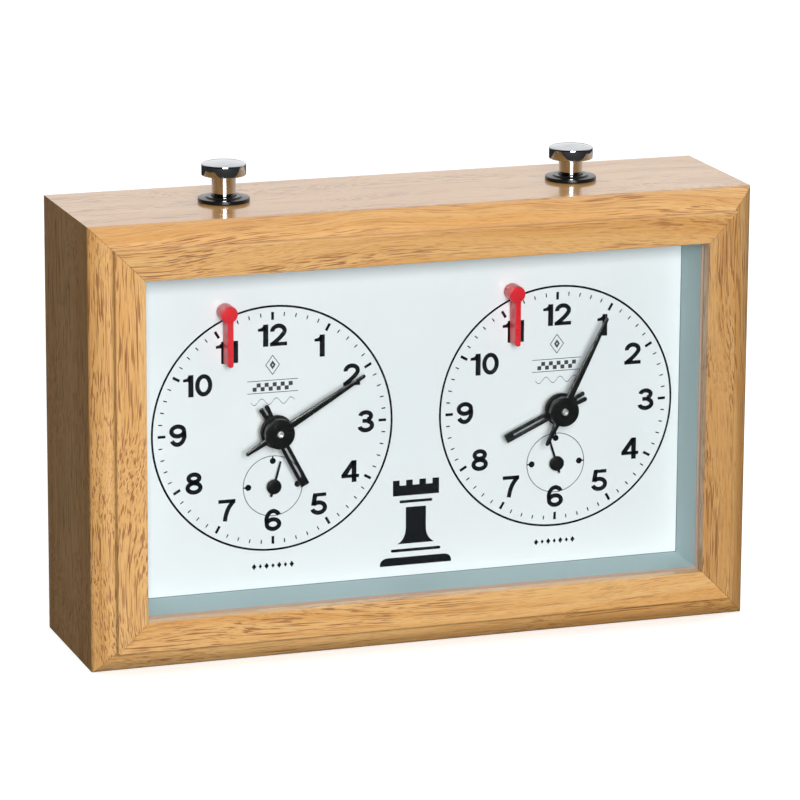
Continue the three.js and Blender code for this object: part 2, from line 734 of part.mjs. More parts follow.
/** Pallet lever: two pins that straddle the escape wheel, and a fork towards the balance. */
function palletLever() {
  const toEscape = [AT_ESCAPE[0] - AT_LEVER[0], AT_ESCAPE[1] - AT_LEVER[1]];
  const pinPlaces = [-1, 1].map((side) => polar(toEscape, LEVER.pinReach, LEVER.angle + side * LEVER.spread));
  const along = (reach) => polar([0, 0], reach, BALANCE.angle);
  const hub = rod(LEVER.hubR, LEVER.y, 0, 0, 10);
  const arms = pinPlaces.map((place) => bar([0, 0], place, LEVER.arm, LEVER.y));
  const ends = pinPlaces.map((place) => rod(LEVER.endR, LEVER.y, ...place, 8));
  const pins = pinPlaces.map((place) => rod(LEVER.pinR, LEVER.pinY, ...place, 8));
  const fork = bar([0, 0], along(LEVER.fork), LEVER.forkWidth, LEVER.y);
  const slot = bar(along(LEVER.fork - LEVER.slotDepth), along(LEVER.fork + PAST), LEVER.slot, past(LEVER.y));
  return cut(join(hub, fork, ...arms, ...ends, ...pins, arbor()), slot);
}

/** Balance wheel: a rim on two spokes, with its staff, roller and impulse pin. */
function balanceWheel() {
  const ring = new THREE.Shape();
  ring.absarc(0, 0, BALANCE.r, 0, 2 * Math.PI);
  const inside = new THREE.Path();
  inside.absarc(0, 0, BALANCE.r - BALANCE.rim, 0, 2 * Math.PI, true);
  ring.holes.push(inside);
  const rim = slab(ring, BALANCE.y);
  const reach = BALANCE.r - BALANCE.rim / 2;
  const spokeY = [BALANCE.y[0] + TOUCH_GAP, BALANCE.y[1] - TOUCH_GAP];
  const spokes = bar([-reach, 0], [reach, 0], BALANCE.spoke, spokeY);
  const hub = rod(BALANCE.hubR, BALANCE.y, 0, 0, 10);
  const roller = rod(BALANCE.rollerR, BALANCE.rollerY, 0, 0, 16);
  const pinPlace = polar([0, 0], BALANCE.pinReach, BALANCE.angle + 180);
  const pin = rod(BALANCE.pinR, BALANCE.pinY, ...pinPlace, 8);
  return join(rim, spokes, hub, roller, pin, arbor());
}

/** Minute wheel: turns on a post of the front plate and drives the hour wheel. */
function minuteWheel() {
  const wheelPhase = meshPhase(AT_CENTRE, CANNON.teeth, AT_MINUTE, MINUTE_WHEEL.teeth);
  const pinionPhase = meshPhase(AT_CENTRE, HOUR_WHEEL.teeth, AT_MINUTE, MINUTE_PINION.teeth);
  const wheel = slab(wheelShape(MINUTE_WHEEL.teeth, CANNON.module, wheelPhase), MINUTE_WHEEL.y);
  const pinion = slab(pinionShape(MINUTE_PINION.teeth, MINUTE_PINION.module, pinionPhase), MINUTE_PINION.y);
  const bore = rod(MINUTE_WHEEL.postR + PIVOT_GAP, past([MINUTE_PINION.y[0], MINUTE_WHEEL.y[1]]), 0, 0, 10);
  return cut(join(wheel, pinion), bore);
}

/** Hour wheel on the tube that carries the hour hand. */
function hourWheel() {
  const wheel = slab(wheelShape(HOUR_WHEEL.teeth, MINUTE_PINION.module, 0), HOUR_WHEEL.y);
  const tubeY = [HOUR_TUBE.endY, HOUR_WHEEL.y[1]];
  const tube = rod(HOUR_TUBE.r, tubeY, 0, 0, 16);
  const bore = rod(HOUR_TUBE.bore, past(tubeY), 0, 0, 16);
  return cut(join(wheel, tube), bore);
}

/** Setting arbor: from the knob at the back, through the movement and the hour tube, to the minute hand. */
function settingArbor() {
  const core = rod(ARBOR.r, [CANNON.y[0], KNOB.y[1] - PAST], 0, 0, 12);
  const cannon = slab(pinionShape(CANNON.teeth, CANNON.module, 0), CANNON.y);
  const sleeve = rod(ARBOR.sleeveR, [ARBOR.sleeveY, CANNON.y[1]], 0, 0, 12);
  const pin = rod(ARBOR.pinR, [ARBOR.pinY, CANNON.y[0]], 0, 0, 12);
  const knob = rod(KNOB.r, KNOB.y, 0, 0, 20);
  return join(core, cannon, sleeve, pin, knob);
}

/** Winding key: two wings on the arbor that the mainspring is wound on. */
function windingKey() {
  const middleY = KEY.y[1] - KEY.wingR;
  const lobes = [-1, 1].map((side) => {
    const lobe = new THREE.CylinderGeometry(KEY.wingR, KEY.wingR, KEY.wing, 16);
    return lobe.rotateX(Math.PI / 2).translate(side * KEY.wingX, middleY, 0);
  });
  const webY = [middleY - KEY.webHalf, middleY + KEY.webHalf];
  const web = box([-KEY.wingX, webY[0], -KEY.wing / 2], [KEY.wingX, webY[1], KEY.wing / 2]);
  const collar = rod(KEY.collarR, [KEY.y[0], middleY + PAST], 0, 0, 16);
  const stem = rod(KEY.arborR, [PLATE.frontY + PIVOT_INSET, middleY], 0, 0, 12);
  const drum = rod(MAINSPRING.drumR, MAINSPRING.y, 0, 0, 12);
  return join(stem, drum, collar, web, ...lobes);
}

// ---------------------------------------------------------------------------------------------------
// Hands and flags
// ---------------------------------------------------------------------------------------------------

/** Minute hand: a long blade that narrows to its tip, a tapered tail and a thick round hub. */
function minuteHand(angle) {
  const { rootHalf, tipHalf, tailHalf, length, tail, hubY, hubR, y } = MINUTE_HAND;
  const blade = outline([
    [-rootHalf, 0],
    [-tipHalf, length],
    [tipHalf, length],
    [rootHalf, 0],
    [tailHalf, -tail],
    [-tailHalf, -tail],
  ]);
  const hub = rod(hubR, [hubY, y[1]], 0, 0, 24);
  const bore = rod(ARBOR.pinR + TOUCH_GAP, past([hubY, y[1]]), 0, 0, 12);
  return cut(join(slab(blade, y), hub), bore).rotateY(degrees(angle));
}

/** Hour hand: a broad slotted blade with a square end, a forked tail and a ring on the hour tube. */
function hourHand(angle) {
  const { half, slotHalf, slot, length, tail, tailHalf, forkFrom, hubY, hubR, y } = HOUR_HAND;
  const blade = outline([
    [-half, 0],
    [-half, length],
    [half, length],
    [half, 0],
    [tailHalf, -tail],
    [-tailHalf, -tail],
  ]);
  const slit = bar([0, slot[0]], [0, slot[1]], 2 * slotHalf, past(y));
  const fork = bar([0, -forkFrom], [0, -tail - PAST], 2 * slotHalf, past(y));
  const hub = rod(hubR, [hubY, y[1]], 0, 0, 24);
  const bore = rod(HOUR_TUBE.r + TOUCH_GAP, past([hubY, y[1]]), 0, 0, 16);
  return cut(join(slab(blade, y), hub), slit, fork, bore).rotateY(degrees(angle));
}

/** Seconds hand: a straight needle with a short tail on a round hub. */
function secondsHand(angle) {
  const { half, length, tail, hubY, hubR, cover, y } = SECONDS_HAND;
  const blade = bar([0, -tail], [0, length], 2 * half, y);
  const hub = rod(hubR, [hubY, y[1]], 0, 0, 16);
  const bore = rod(PIVOT_R + TOUCH_GAP, [hubY + cover, y[1] + PAST], 0, 0, 8);
  return cut(join(blade, hub), bore).rotateY(degrees(angle));
}

/** Flag: hangs from its pin, with a round head and a chamfered tip. */
function flag() {
  const { blade: [left, right], tip, chamfer, headR, face, boreR, y } = FLAG;
  const blade = outline([
    [left, 0],
    [left, -tip + chamfer],
    [left + chamfer, -tip],
    [right, -tip],
    [right, 0],
  ]);
  const head = rod(headR, y, 0, 0, 20);
  const bore = rod(boreR, [y[0] + face, y[1] + PAST], 0, 0, 10);
  return cut(join(slab(blade, y), head), bore);
}

/** Flag pin: fixed in the dial plate. */
function flagPin() {
  return rod(FLAG.pinR, [FLAG.y[0] + FLAG.face + TOUCH_GAP, DIAL.backY], 0, 0, 8);
}

// ---------------------------------------------------------------------------------------------------
// Assembly
// ---------------------------------------------------------------------------------------------------

const group = new THREE.Group();

/** Adds a named piece to a parent. */
function add(name, geometry, look, parent = group, [x, y, z] = [0, 0, 0]) {
  const mesh = new THREE.Mesh(geometry, look);
  mesh.name = name;
  mesh.position.set(x, y, z);
  parent.add(mesh);
  return mesh;
}

const middleZ = CASE.height / 2;
add('case_bottom', cut(board(CASE.width), ...screwHoles()), WOOD);
const top = add('case_top', cut(board(CASE.width), ...screwHoles(), ...collarHoles()), WOOD);
top.rotation.y = Math.PI;
top.position.z = CASE.height;
for (const { name, sign } of SIDES) {
  const side = add(`case_${name}_side`, board(CASE.height), WOOD);
  side.rotation.y = -sign * Math.PI / 2;
  side.position.set(sign * CASE.width / 2, 0, middleZ);
}

add('window_glass', windowGlass(), GLASS_PANE);
add('lining_frame', liningFrame(), CARD);
add('dial_plate', dialPlate(), WHITE_ENAMEL);
add('back_panel', backPanel(), BLACK_BOARD);

let screwNumber = 0;
for (const z of [CASE.height - SCREW.inset, SCREW.inset]) {
  for (const x of [-SCREW.x, SCREW.x]) {
    screwNumber += 1;
    add(`back_screw_${screwNumber}`, backScrew(), STEEL, group, [x, 0, z]);
  }
}

add('rocker_bracket', rockerBracket(), STEEL);
add('rocker_pin', rockerPin(), STEEL);
const rocker = add('rocker_bar', rockerBar(), STEEL, group, [0, 0, ROCKER.z]);
rocker.rotation.y = Math.atan2(ROCKER.restLift, BUTTON.x);

for (const { name, sign, minute, hour, seconds } of SIDES) {
  const lift = -sign * ROCKER.restLift;
  add(`${name}_push_button`, pushButton(), CHROME, group, [sign * BUTTON.x, BUTTON.y, lift]);
  add(`${name}_button_collar`, buttonCollar(), BLACK, group, [sign * BUTTON.x, BUTTON.y, 0]);

  const clock = new THREE.Group();
  clock.position.set(sign * DIAL_X, 0, DIAL_Z);
  group.add(clock);
  const place = ([x, z]) => [x, 0, z];
  add(`${name}_front_plate`, frontPlate(), BRASS, clock);
  add(`${name}_back_plate`, backPlate(), BRASS, clock);
  add(`${name}_great_wheel`, greatWheel(), BRASS, clock, place(AT_GREAT));
  add(`${name}_mainspring`, spiral(MAINSPRING, 12), BLUED_STEEL, clock, place(AT_GREAT));
  add(`${name}_winding_key`, windingKey(), BRASS, clock, place(AT_GREAT));
  add(`${name}_center_wheel`, centerWheel(), BRASS, clock);
  add(`${name}_third_wheel`, thirdWheel(), BRASS, clock, place(AT_THIRD));
  add(`${name}_fourth_wheel`, fourthWheel(), BRASS, clock, place(AT_FOURTH));
  add(`${name}_escape_wheel`, escapeWheel(), BRASS, clock, place(AT_ESCAPE));
  add(`${name}_pallet_lever`, palletLever(), STEEL, clock, place(AT_LEVER));
  add(`${name}_balance_wheel`, balanceWheel(), BRASS, clock, place(AT_BALANCE));
  add(`${name}_hairspring`, spiral(HAIRSPRING, 10), BLUED_STEEL, clock, place(AT_BALANCE));
  add(`${name}_minute_wheel`, minuteWheel(), BRASS, clock, place(AT_MINUTE));
  add(`${name}_hour_wheel`, hourWheel(), BRASS, clock);
  add(`${name}_setting_arbor`, settingArbor(), STEEL, clock);
  add(`${name}_minute_hand`, minuteHand(minute), BLACK, clock);
  add(`${name}_hour_hand`, hourHand(hour), BLACK, clock);
  add(`${name}_seconds_hand`, secondsHand(seconds), BLACK, clock, place(AT_FOURTH));
  add(`${name}_flag`, flag(), RED, clock, [FLAG.x, 0, FLAG.z]);
  add(`${name}_flag_pin`, flagPin(), STEEL, clock, [FLAG.x, 0, FLAG.z]);
}

export default group;
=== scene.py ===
import json
import math

import bmesh
import bpy
from mathutils import Matrix, Vector


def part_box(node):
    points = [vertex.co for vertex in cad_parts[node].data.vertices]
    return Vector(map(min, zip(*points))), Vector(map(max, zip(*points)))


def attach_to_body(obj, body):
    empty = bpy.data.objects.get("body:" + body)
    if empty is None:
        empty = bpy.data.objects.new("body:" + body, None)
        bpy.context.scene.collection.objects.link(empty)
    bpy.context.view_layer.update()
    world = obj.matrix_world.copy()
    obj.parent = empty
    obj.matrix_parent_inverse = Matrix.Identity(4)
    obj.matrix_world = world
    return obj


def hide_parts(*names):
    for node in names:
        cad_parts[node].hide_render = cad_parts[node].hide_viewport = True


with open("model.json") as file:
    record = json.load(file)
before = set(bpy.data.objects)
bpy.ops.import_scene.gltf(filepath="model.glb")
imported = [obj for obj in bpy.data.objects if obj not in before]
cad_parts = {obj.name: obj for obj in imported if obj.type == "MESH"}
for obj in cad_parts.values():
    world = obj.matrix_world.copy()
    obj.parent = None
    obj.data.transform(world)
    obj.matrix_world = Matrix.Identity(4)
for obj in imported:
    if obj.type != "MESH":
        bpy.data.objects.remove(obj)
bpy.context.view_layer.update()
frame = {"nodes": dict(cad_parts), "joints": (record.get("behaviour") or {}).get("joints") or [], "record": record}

MM = 0.001                                  # every size below is in millimetres
ON_AXIS = 1e-6                              # a radius smaller than this is a point on the axis
SIDES = ("left", "right")

# ----------------------------------------------------------------------
# What the frame says
# ----------------------------------------------------------------------

PIVOTS = {joint["name"]: Vector(joint["pos_m"]) / MM for joint in frame["joints"] if "pos_m" in joint}


def node_box(name):
    """Lowest and highest corner of a CAD node, in millimetres."""
    low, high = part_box(name)
    return low / MM, high / MM


CASE_LOW = node_box("case_left_side")[0]
CASE_HIGH = node_box("case_right_side")[1]
CASE_WIDTH = CASE_HIGH.x - CASE_LOW.x
CASE_HEIGHT = node_box("case_top")[1].z
CASE_FRONT = CASE_LOW.y
CASE_BACK = CASE_HIGH.y
DIAL_FRONT = node_box("dial_plate")[0].y
BAND = 15.2                                 # outside of the case to the window


# ----------------------------------------------------------------------
# Meshes
# ----------------------------------------------------------------------

def add_object(bm, name, materials):
    """Scales a bmesh from millimetres to metres and puts it in the scene."""
    bmesh.ops.scale(bm, vec=(MM, MM, MM), verts=bm.verts)
    mesh = bpy.data.meshes.new(name)
    bm.to_mesh(mesh)
    bm.free()
    for material in materials:
        mesh.materials.append(material)
    obj = bpy.data.objects.new(name, mesh)
    bpy.context.scene.collection.objects.link(obj)
    return obj


def finish_mesh(bm, name, materials, sharp=32.0):
    """Turns a bmesh into an object that is smooth except across edges sharper than an angle."""
    bmesh.ops.remove_doubles(bm, verts=bm.verts, dist=1e-5)
    bmesh.ops.recalc_face_normals(bm, faces=bm.faces)
    for face in bm.faces:
        face.smooth = True
    for edge in bm.edges:
        edge.smooth = len(edge.link_faces) == 2 and edge.calc_face_angle(0.0) < math.radians(sharp)
    return add_object(bm, name, materials if isinstance(materials, list) else [materials])


def attach(obj, body, slot, *replaced):
    """Rides a piece on a body and hides the CAD nodes it stands for; slot is not used."""
    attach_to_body(obj, body)
    if replaced:
        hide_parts(*replaced)
    return obj


def skin(bm, rows):
    """Joins each closed row of points to the next one."""
    for first, second in zip(rows, rows[1:]):
        for i in range(len(first)):
            j = (i + 1) % len(first)
            bm.faces.new((first[i], first[j], second[j], second[i]))


def loft(bm, rings, closed_ends=True):
    """Skins rings of equally many points, in order, and caps the ends."""
    rows = [[bm.verts.new(point) for point in ring] for ring in rings]
    skin(bm, rows)
    if closed_ends:
        bm.faces.new(rows[0][::-1])
        bm.faces.new(rows[-1])


def quadratic(start, control, end, steps):
    """Points of a curve from start to end, pulled towards control, without its first point."""
    points = []
    for i in range(1, steps + 1):
        t = i / steps
        a, b, c = (1 - t) ** 2, 2 * t * (1 - t), t * t
        points.append(tuple(a * p + b * q + c * r for p, q, r in zip(start, control, end)))
    return points


def full_circle(steps):
    """Evenly spaced angles."""
    return [2 * math.pi * i / steps for i in range(steps)]


def turned_point(centre, radius, along, angle, axis):
    """A point at a distance and an angle round an axis through centre, and at a place along it."""
    u, v = radius * math.cos(angle), radius * math.sin(angle)
    offset = (u, along, v) if axis == "Y" else (u, v, along)
    return [c + o for c, o in zip(centre, offset)]


def turn(bm, profile, centre, axis, steps, lobes=None):
    """Turns a profile of (radius, place along the axis), which starts and ends on the axis, round it.

    lobes(angle, radius, place) scales the radius.
    """
    rows = []
    for radius, along in profile:
        ring = []
        for angle in full_circle(steps) if radius > ON_AXIS else [0.0]:
            r = radius * (lobes(angle, radius, along) if lobes else 1)
            ring.append(bm.verts.new(turned_point(centre, r, along, angle, axis)))
        rows.append(ring)
    for first, second in zip(rows, rows[1:]):
        for i in range(steps):
            j = (i + 1) % steps
            corners = [row[k % len(row)] for row, k in ((first, i), (first, j), (second, j), (second, i))]
            unique = list(dict.fromkeys(corners))
            if len(unique) > 2:
                bm.faces.new(unique)


def ring_solid(bm, profile, centre, axis="Y", steps=64):
    """Turns a closed profile of (radius, place along the axis) round an axis that it doesn't touch."""
    angles = full_circle(steps)
    rows = [[bm.verts.new(turned_point(centre, r, along, a, axis)) for a in angles] for r, along in profile]
    skin(bm, rows + rows[:1])


def rounded(profile, radius, steps):
    """Rounds the inner corners of an open profile, by no more than each side has room for."""
    room = 0.45
    points = [profile[0]]
    for before, corner, after in zip(profile, profile[1:], profile[2:]):
        b, c, a = Vector(before), Vector(corner), Vector(after)
        reach = min(radius, (b - c).length * room, (a - c).length * room)
        start = c + (b - c).normalized() * reach
        end = c + (a - c).normalized() * reach
        points.append(tuple(start))
        points.extend(quadratic(start, c, end, steps))
    points.append(profile[-1])
    return points


def oblong(left, right, low, high):
    return [(left, low), (right, low), (right, high), (left, high)]


def prism(bm, outline, y0, y1, place):
    """A flat outline in X and Z made solid between two depths, and put in its place."""
    front = [place @ Vector((x, y0, z)) for x, z in outline]
    back = [place @ Vector((x, y1, z)) for x, z in outline]
    loft(bm, [front, back])


def spin(angle, centre):
    """Turns a piece drawn pointing up, clockwise as seen from the front, and puts it at a centre."""
    return Matrix.Translation(centre) @ Matrix.Rotation(math.radians(angle), 4, "Y")


# ----------------------------------------------------------------------
# Materials
# ----------------------------------------------------------------------

def add_node(tree, kind, inputs=None, **settings):
    """Adds a node to a tree, and sets its inputs or links them."""
    node = tree.nodes.new(kind)
    for key, value in settings.items():
        setattr(node, key, value)
    for key, value in (inputs or {}).items():
        socket = node.inputs[key]
        if isinstance(value, bpy.types.NodeSocket):
            tree.links.new(value, socket)
        else:
            socket.default_value = value
    return node


class Tree:
    """Builds one material's nodes. Each call adds a node and gives back the output that is wanted."""

    def __init__(self, name):
        self.material = bpy.data.materials.new(name)
        self.material.use_nodes = True
        self.tree = self.material.node_tree
        self.tree.nodes.clear()

    def add(self, kind, inputs=None, out=0, **settings):
        return add_node(self.tree, kind, inputs, **settings).outputs[out]

    def math(self, operation, a, b):
        return self.add("ShaderNodeMath", {0: a, 1: b}, operation=operation)

    def place(self):
        """Place in the object's own frame, in millimetres."""
        coordinates = self.add("ShaderNodeTexCoord", out="Object")
        return self.add("ShaderNodeVectorMath", {0: coordinates, "Scale": 1 / MM}, operation="SCALE")

    def stretch(self, vector, scale):
        return self.add("ShaderNodeVectorMath", {0: vector, 1: scale}, operation="MULTIPLY")

    def shift(self, vector, by):
        return self.add("ShaderNodeVectorMath", {0: vector, 1: by}, operation="ADD")

    def noise(self, vector, detail=2.0, roughness=0.5, distortion=0.0):
        inputs = {"Vector": vector, "Scale": 1.0, "Detail": detail}
        inputs |= {"Roughness": roughness, "Distortion": distortion}
        return self.add("ShaderNodeTexNoise", inputs)

    def ring_noise(self, radius, frequency, along, drift):
        """Noise that changes with the distance from the heart of the tree, and slowly along the grain."""
        across = self.math("MULTIPLY", radius, frequency)
        lengthwise = self.math("MULTIPLY", along, drift)
        vector = self.add("ShaderNodeCombineXYZ", {0: across, 1: lengthwise, 2: frequency * 9.0})
        return self.noise(vector, detail=3.0, roughness=0.6)

    def ease(self, value, low, high, to_low=0.0, to_high=1.0):
        """A smooth step of value from low to high."""
        inputs = {"Value": value, "From Min": low, "From Max": high, "To Min": to_low, "To Max": to_high}
        return self.add("ShaderNodeMapRange", inputs, interpolation_type="SMOOTHSTEP")

    def blend(self, factor, first, second):
        """A colour between two colours."""
        inputs = {0: factor, 6: first, 7: second}
        return self.add("ShaderNodeMix", inputs, out=2, data_type="RGBA")

    def bump(self, height, distance):
        return self.add("ShaderNodeBump", {"Height": height, "Distance": distance * MM, "Strength": 1.0})

    def surface(self, **inputs):
        """The Principled shader and the output."""
        names = {key.replace("_", " "): value for key, value in inputs.items()}
        shader = self.add("ShaderNodeBsdfPrincipled", names)
        self.add_output(shader)
        return self.material

    def add_output(self, shader):
        add_node(self.tree, "ShaderNodeOutputMaterial", {"Surface": shader})


def rgb(red, green, blue):
    return (red, green, blue, 1.0)


def share_of(colour, share):
    """A colour made darker or lighter."""
    return rgb(*[c * share for c in colour])


def wood(name, along, seed, painted_shade_share, figure=0.0):
    """Varnished pale hardwood: growth rings cut lengthwise, fine fibres and short brown pores.

    along is the direction of the grain, seed picks the board, the share after it darkens the board as painted
    shade for how the light falls on that side, and figure adds to the pores.
    """
    t = Tree(name)
    axes = t.add("ShaderNodeSeparateXYZ", {0: t.place()}).node.outputs
    order = ("X", "Y", "Z") if along == "X" else ("Z", "Y", "X")
    grain = t.add("ShaderNodeCombineXYZ", {i: axes[axis] for i, axis in enumerate(order)})
    board = (seed * 311.0, seed * 37.0, seed * 53.0)
    grain = t.shift(grain, board)

    # the grain wanders a few millimetres across the board
    drift = t.noise(t.stretch(grain, (0.009, 0.02, 0.02)))
    drift = t.add("ShaderNodeVectorMath", {0: (0, 16, 22), "Scale": drift}, operation="SCALE")
    grain = t.shift(grain, drift)
    lengthwise = t.add("ShaderNodeSeparateXYZ", {0: grain}, out="X")

    # growth rings round a heart that lies off to one side
    heart = t.shift(t.stretch(grain, (0, 1, 1)), (0, 34.0 - board[1], 62.0 - board[2]))
    radius = t.add("ShaderNodeVectorMath", {0: heart}, out=1, operation="LENGTH")
    broad = t.ring_noise(radius, 0.16, lengthwise, 0.0035)
    rings = t.ring_noise(radius, 0.55, lengthwise, 0.006)
    lines = t.ring_noise(radius, 1.9, lengthwise, 0.02)

    fibres = t.noise(t.stretch(grain, (0.07, 4.5, 4.5)), detail=3.0, roughness=0.65)
    dashes = t.noise(t.stretch(grain, (0.075, 2.9, 2.9)), detail=1.0)
    specks = t.noise(t.stretch(grain, (0.22, 4.6, 4.6)), detail=1.0)
    clusters = t.noise(t.stretch(grain, (0.012, 0.15, 0.15)))

    # every colour is darkened by the board's share: painted shade for how the light falls on it
    pale = share_of((0.80, 0.485, 0.195), painted_shade_share)
    gold = share_of((0.70, 0.370, 0.120), painted_shade_share)
    russet = share_of((0.40, 0.150, 0.042), painted_shade_share)
    brown = share_of((0.22, 0.066, 0.020), painted_shade_share)
    colour = t.blend(t.ease(broad, 0.36, 0.64), gold, pale)
    colour = t.blend(t.math("MULTIPLY", t.ease(rings, 0.48, 0.70), 0.62), colour, gold)
    colour = t.blend(t.math("MULTIPLY", t.ease(lines, 0.52, 0.76), 0.46), colour, russet)
    colour = t.blend(t.math("MULTIPLY", t.ease(fibres, 0.46, 0.74), 0.36), colour, russet)
    colour = t.blend(t.math("MULTIPLY", t.ease(specks, 0.57, 0.68), 0.42), colour, russet)
    pores = t.math("MULTIPLY", t.ease(dashes, 0.54, 0.63), t.ease(clusters, 0.40 - figure, 0.60 - figure))
    colour = t.blend(t.math("MULTIPLY", pores, 0.72), colour, brown)

    height = t.math("SUBTRACT", t.math("MULTIPLY", fibres, 0.25), pores)
    return t.surface(
        Base_Color=colour,
        Roughness=t.math("ADD", t.math("MULTIPLY", pores, 0.2), 0.42),
        Normal=t.bump(height, 0.03),
        Specular_IOR_Level=0.3,
        Coat_Weight=0.84,
        Coat_Roughness=0.12,
        Coat_IOR=1.5,
    )


def enamel(name):
    """Glossy white plate with the faintest orange peel."""
    t = Tree(name)
    place = t.place()
    cloud = t.noise(t.stretch(place, (0.02, 0.02, 0.02)))
    peel = t.noise(t.stretch(place, (0.9, 0.9, 0.9)))
    colour = t.blend(t.ease(cloud, 0.3, 0.7), rgb(0.775, 0.825, 0.865), rgb(0.805, 0.85, 0.885))
    return t.surface(
        Base_Color=colour,
        Roughness=t.ease(peel, 0.2, 0.8, 0.10, 0.17),
        Normal=t.bump(peel, 0.002),
        Specular_IOR_Level=0.5,
    )


def ink(name, colour):
    """Printed ink, a little uneven."""
    t = Tree(name)
    grain = t.noise(t.stretch(t.place(), (6, 6, 6)), detail=3.0)
    return t.surface(
        Base_Color=t.blend(grain, rgb(*colour), share_of(colour, 1.6)),
        Roughness=t.ease(grain, 0.2, 0.8, 0.14, 0.22),
        Normal=t.bump(grain, 0.001),
    )


def card(name, colour):
    """Matt card with short fibres."""
    t = Tree(name)
    place = t.place()
    fibres = t.noise(t.stretch(place, (2.0, 6.0, 2.0)), detail=4.0, roughness=0.7)
    cloud = t.noise(t.stretch(place, (0.05, 0.05, 0.05)))
    shade = t.blend(fibres, share_of(colour, 0.90), share_of(colour, 1.06))
    shade = t.blend(t.math("MULTIPLY", cloud, 0.12), shade, share_of(colour, 0.8))
    return t.surface(
        Base_Color=shade,
        Roughness=t.ease(fibres, 0.2, 0.8, 0.62, 0.82),
        Normal=t.bump(fibres, 0.015),
    )


def plastic(name, colour, rough, relief, coat=0.0, shine=0.5):
    """Moulded plastic or paint with a fine surface and slight wear."""
    t = Tree(name)
    place = t.place()
    fine = t.noise(t.stretch(place, (1.2, 1.2, 1.2)), detail=4.0, roughness=0.6)
    cloud = t.noise(t.stretch(place, (0.12, 0.12, 0.12)))
    worn = rgb(*[min(1, c * 1.12 + 0.002) for c in colour])
    shade = t.blend(cloud, share_of(colour, 0.86), worn)
    return t.surface(
        Base_Color=shade,
        Roughness=t.ease(fine, 0.25, 0.75, *rough),
        Normal=t.bump(fine, relief),
        Specular_IOR_Level=shine,
        Coat_Weight=coat,
        Coat_Roughness=0.1,
    )


def metal(name, colour, rough, brush, depth=0.002):
    """Metal with a brushed or polished surface. brush is how closely its lines lie along X, Y and Z."""
    t = Tree(name)
    place = t.place()
    lines = t.noise(t.stretch(place, brush), detail=4.0, roughness=0.6)
    tarnish = t.noise(t.stretch(place, (0.15, 0.15, 0.15)), detail=3.0)
    shade = t.blend(t.ease(tarnish, 0.35, 0.7), rgb(*colour), share_of(colour, 0.86))
    return t.surface(
        Base_Color=shade,
        Metallic=1.0,
        Roughness=t.ease(lines, 0.2, 0.8, *rough),
        Normal=t.bump(lines, depth),
    )


def fibre_board(name):
    """Black pressed board: matted fibres with a few paler flecks."""
    t = Tree(name)
    place = t.place()
    mat = t.noise(t.stretch(place, (0.9, 0.9, 0.9)), detail=6.0, roughness=0.7, distortion=1.2)
    fleck = t.noise(t.stretch(place, (2.2, 2.2, 2.2)))
    shade = t.blend(mat, rgb(0.018, 0.016, 0.014), rgb(0.055, 0.050, 0.044))
    shade = t.blend(t.math("MULTIPLY", t.ease(fleck, 0.6, 0.75), 0.5), shade, rgb(0.11, 0.10, 0.085))
    return t.surface(
        Base_Color=shade,
        Roughness=t.ease(mat, 0.3, 0.7, 0.48, 0.66),
        Normal=t.bump(mat, 0.03),
    )


def pane(name):
    """Clear glass that lets the lamps through to the dials."""
    t = Tree(name)
    smear = t.noise(t.stretch(t.place(), (0.03, 0.03, 0.03)), detail=3.0)
    glass = t.add("ShaderNodeBsdfPrincipled", {
        "Base Color": rgb(0.985, 0.995, 0.99),
        "Roughness": t.ease(smear, 0.4, 0.9, 0.0, 0.02),
        "IOR": 1.45,
        "Transmission Weight": 1.0,
    })
    clear = t.add("ShaderNodeBsdfTransparent", {"Color": rgb(0.97, 0.98, 0.975)})
    rays = t.add("ShaderNodeLightPath").node.outputs
    through = t.math("MAXIMUM", rays["Is Shadow Ray"], rays["Is Diffuse Ray"])
    t.add_output(t.add("ShaderNodeMixShader", {0: through, 1: glass, 2: clear}))
    return t.material


BLACK_PAINT = plastic("black_paint", (0.003, 0.004, 0.004), (0.2, 0.28), relief=0.001, shine=0.22)
BLACK_PRINT = ink("black_print", (0.003, 0.004, 0.006))
GREY_PRINT = ink("grey_print", (0.045, 0.048, 0.055))
RED_PLASTIC = plastic("red_plastic", (0.66, 0.010, 0.022), (0.26, 0.36), coat=0.08, relief=0.002)
COLLAR_BLACK = plastic("collar_black", (0.005, 0.005, 0.005), (0.16, 0.26), relief=0.003, shine=0.3)
CHROME = metal("chrome", (0.61, 0.63, 0.65), (0.03, 0.07), (0.6, 0.6, 0.6), 0.0006)
BRASS = metal("satin_brass", (0.80, 0.57, 0.25), (0.22, 0.38), (0.4, 0.4, 9.0))
STEEL = metal("ground_steel", (0.58, 0.585, 0.59), (0.24, 0.4), (9.0, 0.5, 0.5))
BLUED = metal("blued_steel", (0.10, 0.14, 0.26), (0.18, 0.3), (3.0, 0.5, 3.0))
WHITE_ENAMEL = enamel("white_enamel")
LINING_CARD = card("lining_card", (0.36, 0.47, 0.49))
CARD_EDGE = card("card_edge", (0.45, 0.31, 0.23))
# dark card colour that paints the shade in the gap between the lining and the dials
CARD_GAP_SHADE = card("painted_gap_shade", (0.13, 0.19, 0.20))
FIBRE_BOARD = fibre_board("fibre_board")
PANE = pane("window_pane")


# ----------------------------------------------------------------------
# Case
# ----------------------------------------------------------------------

OUTER_EDGE = 5.4                            # how far the band stands in front of the outer edge
WALL = 9.0
LIP = 3.5
REBATE = 4.5
LEDGE_Y = 16.0
MITRE_GAP = 0.05
COLLAR_HOLE = 4.6                           # radius of the hole for a button's collar
CUT_SHARP = 24                              # degrees: sharper edges of a cut or moulded board stay sharp


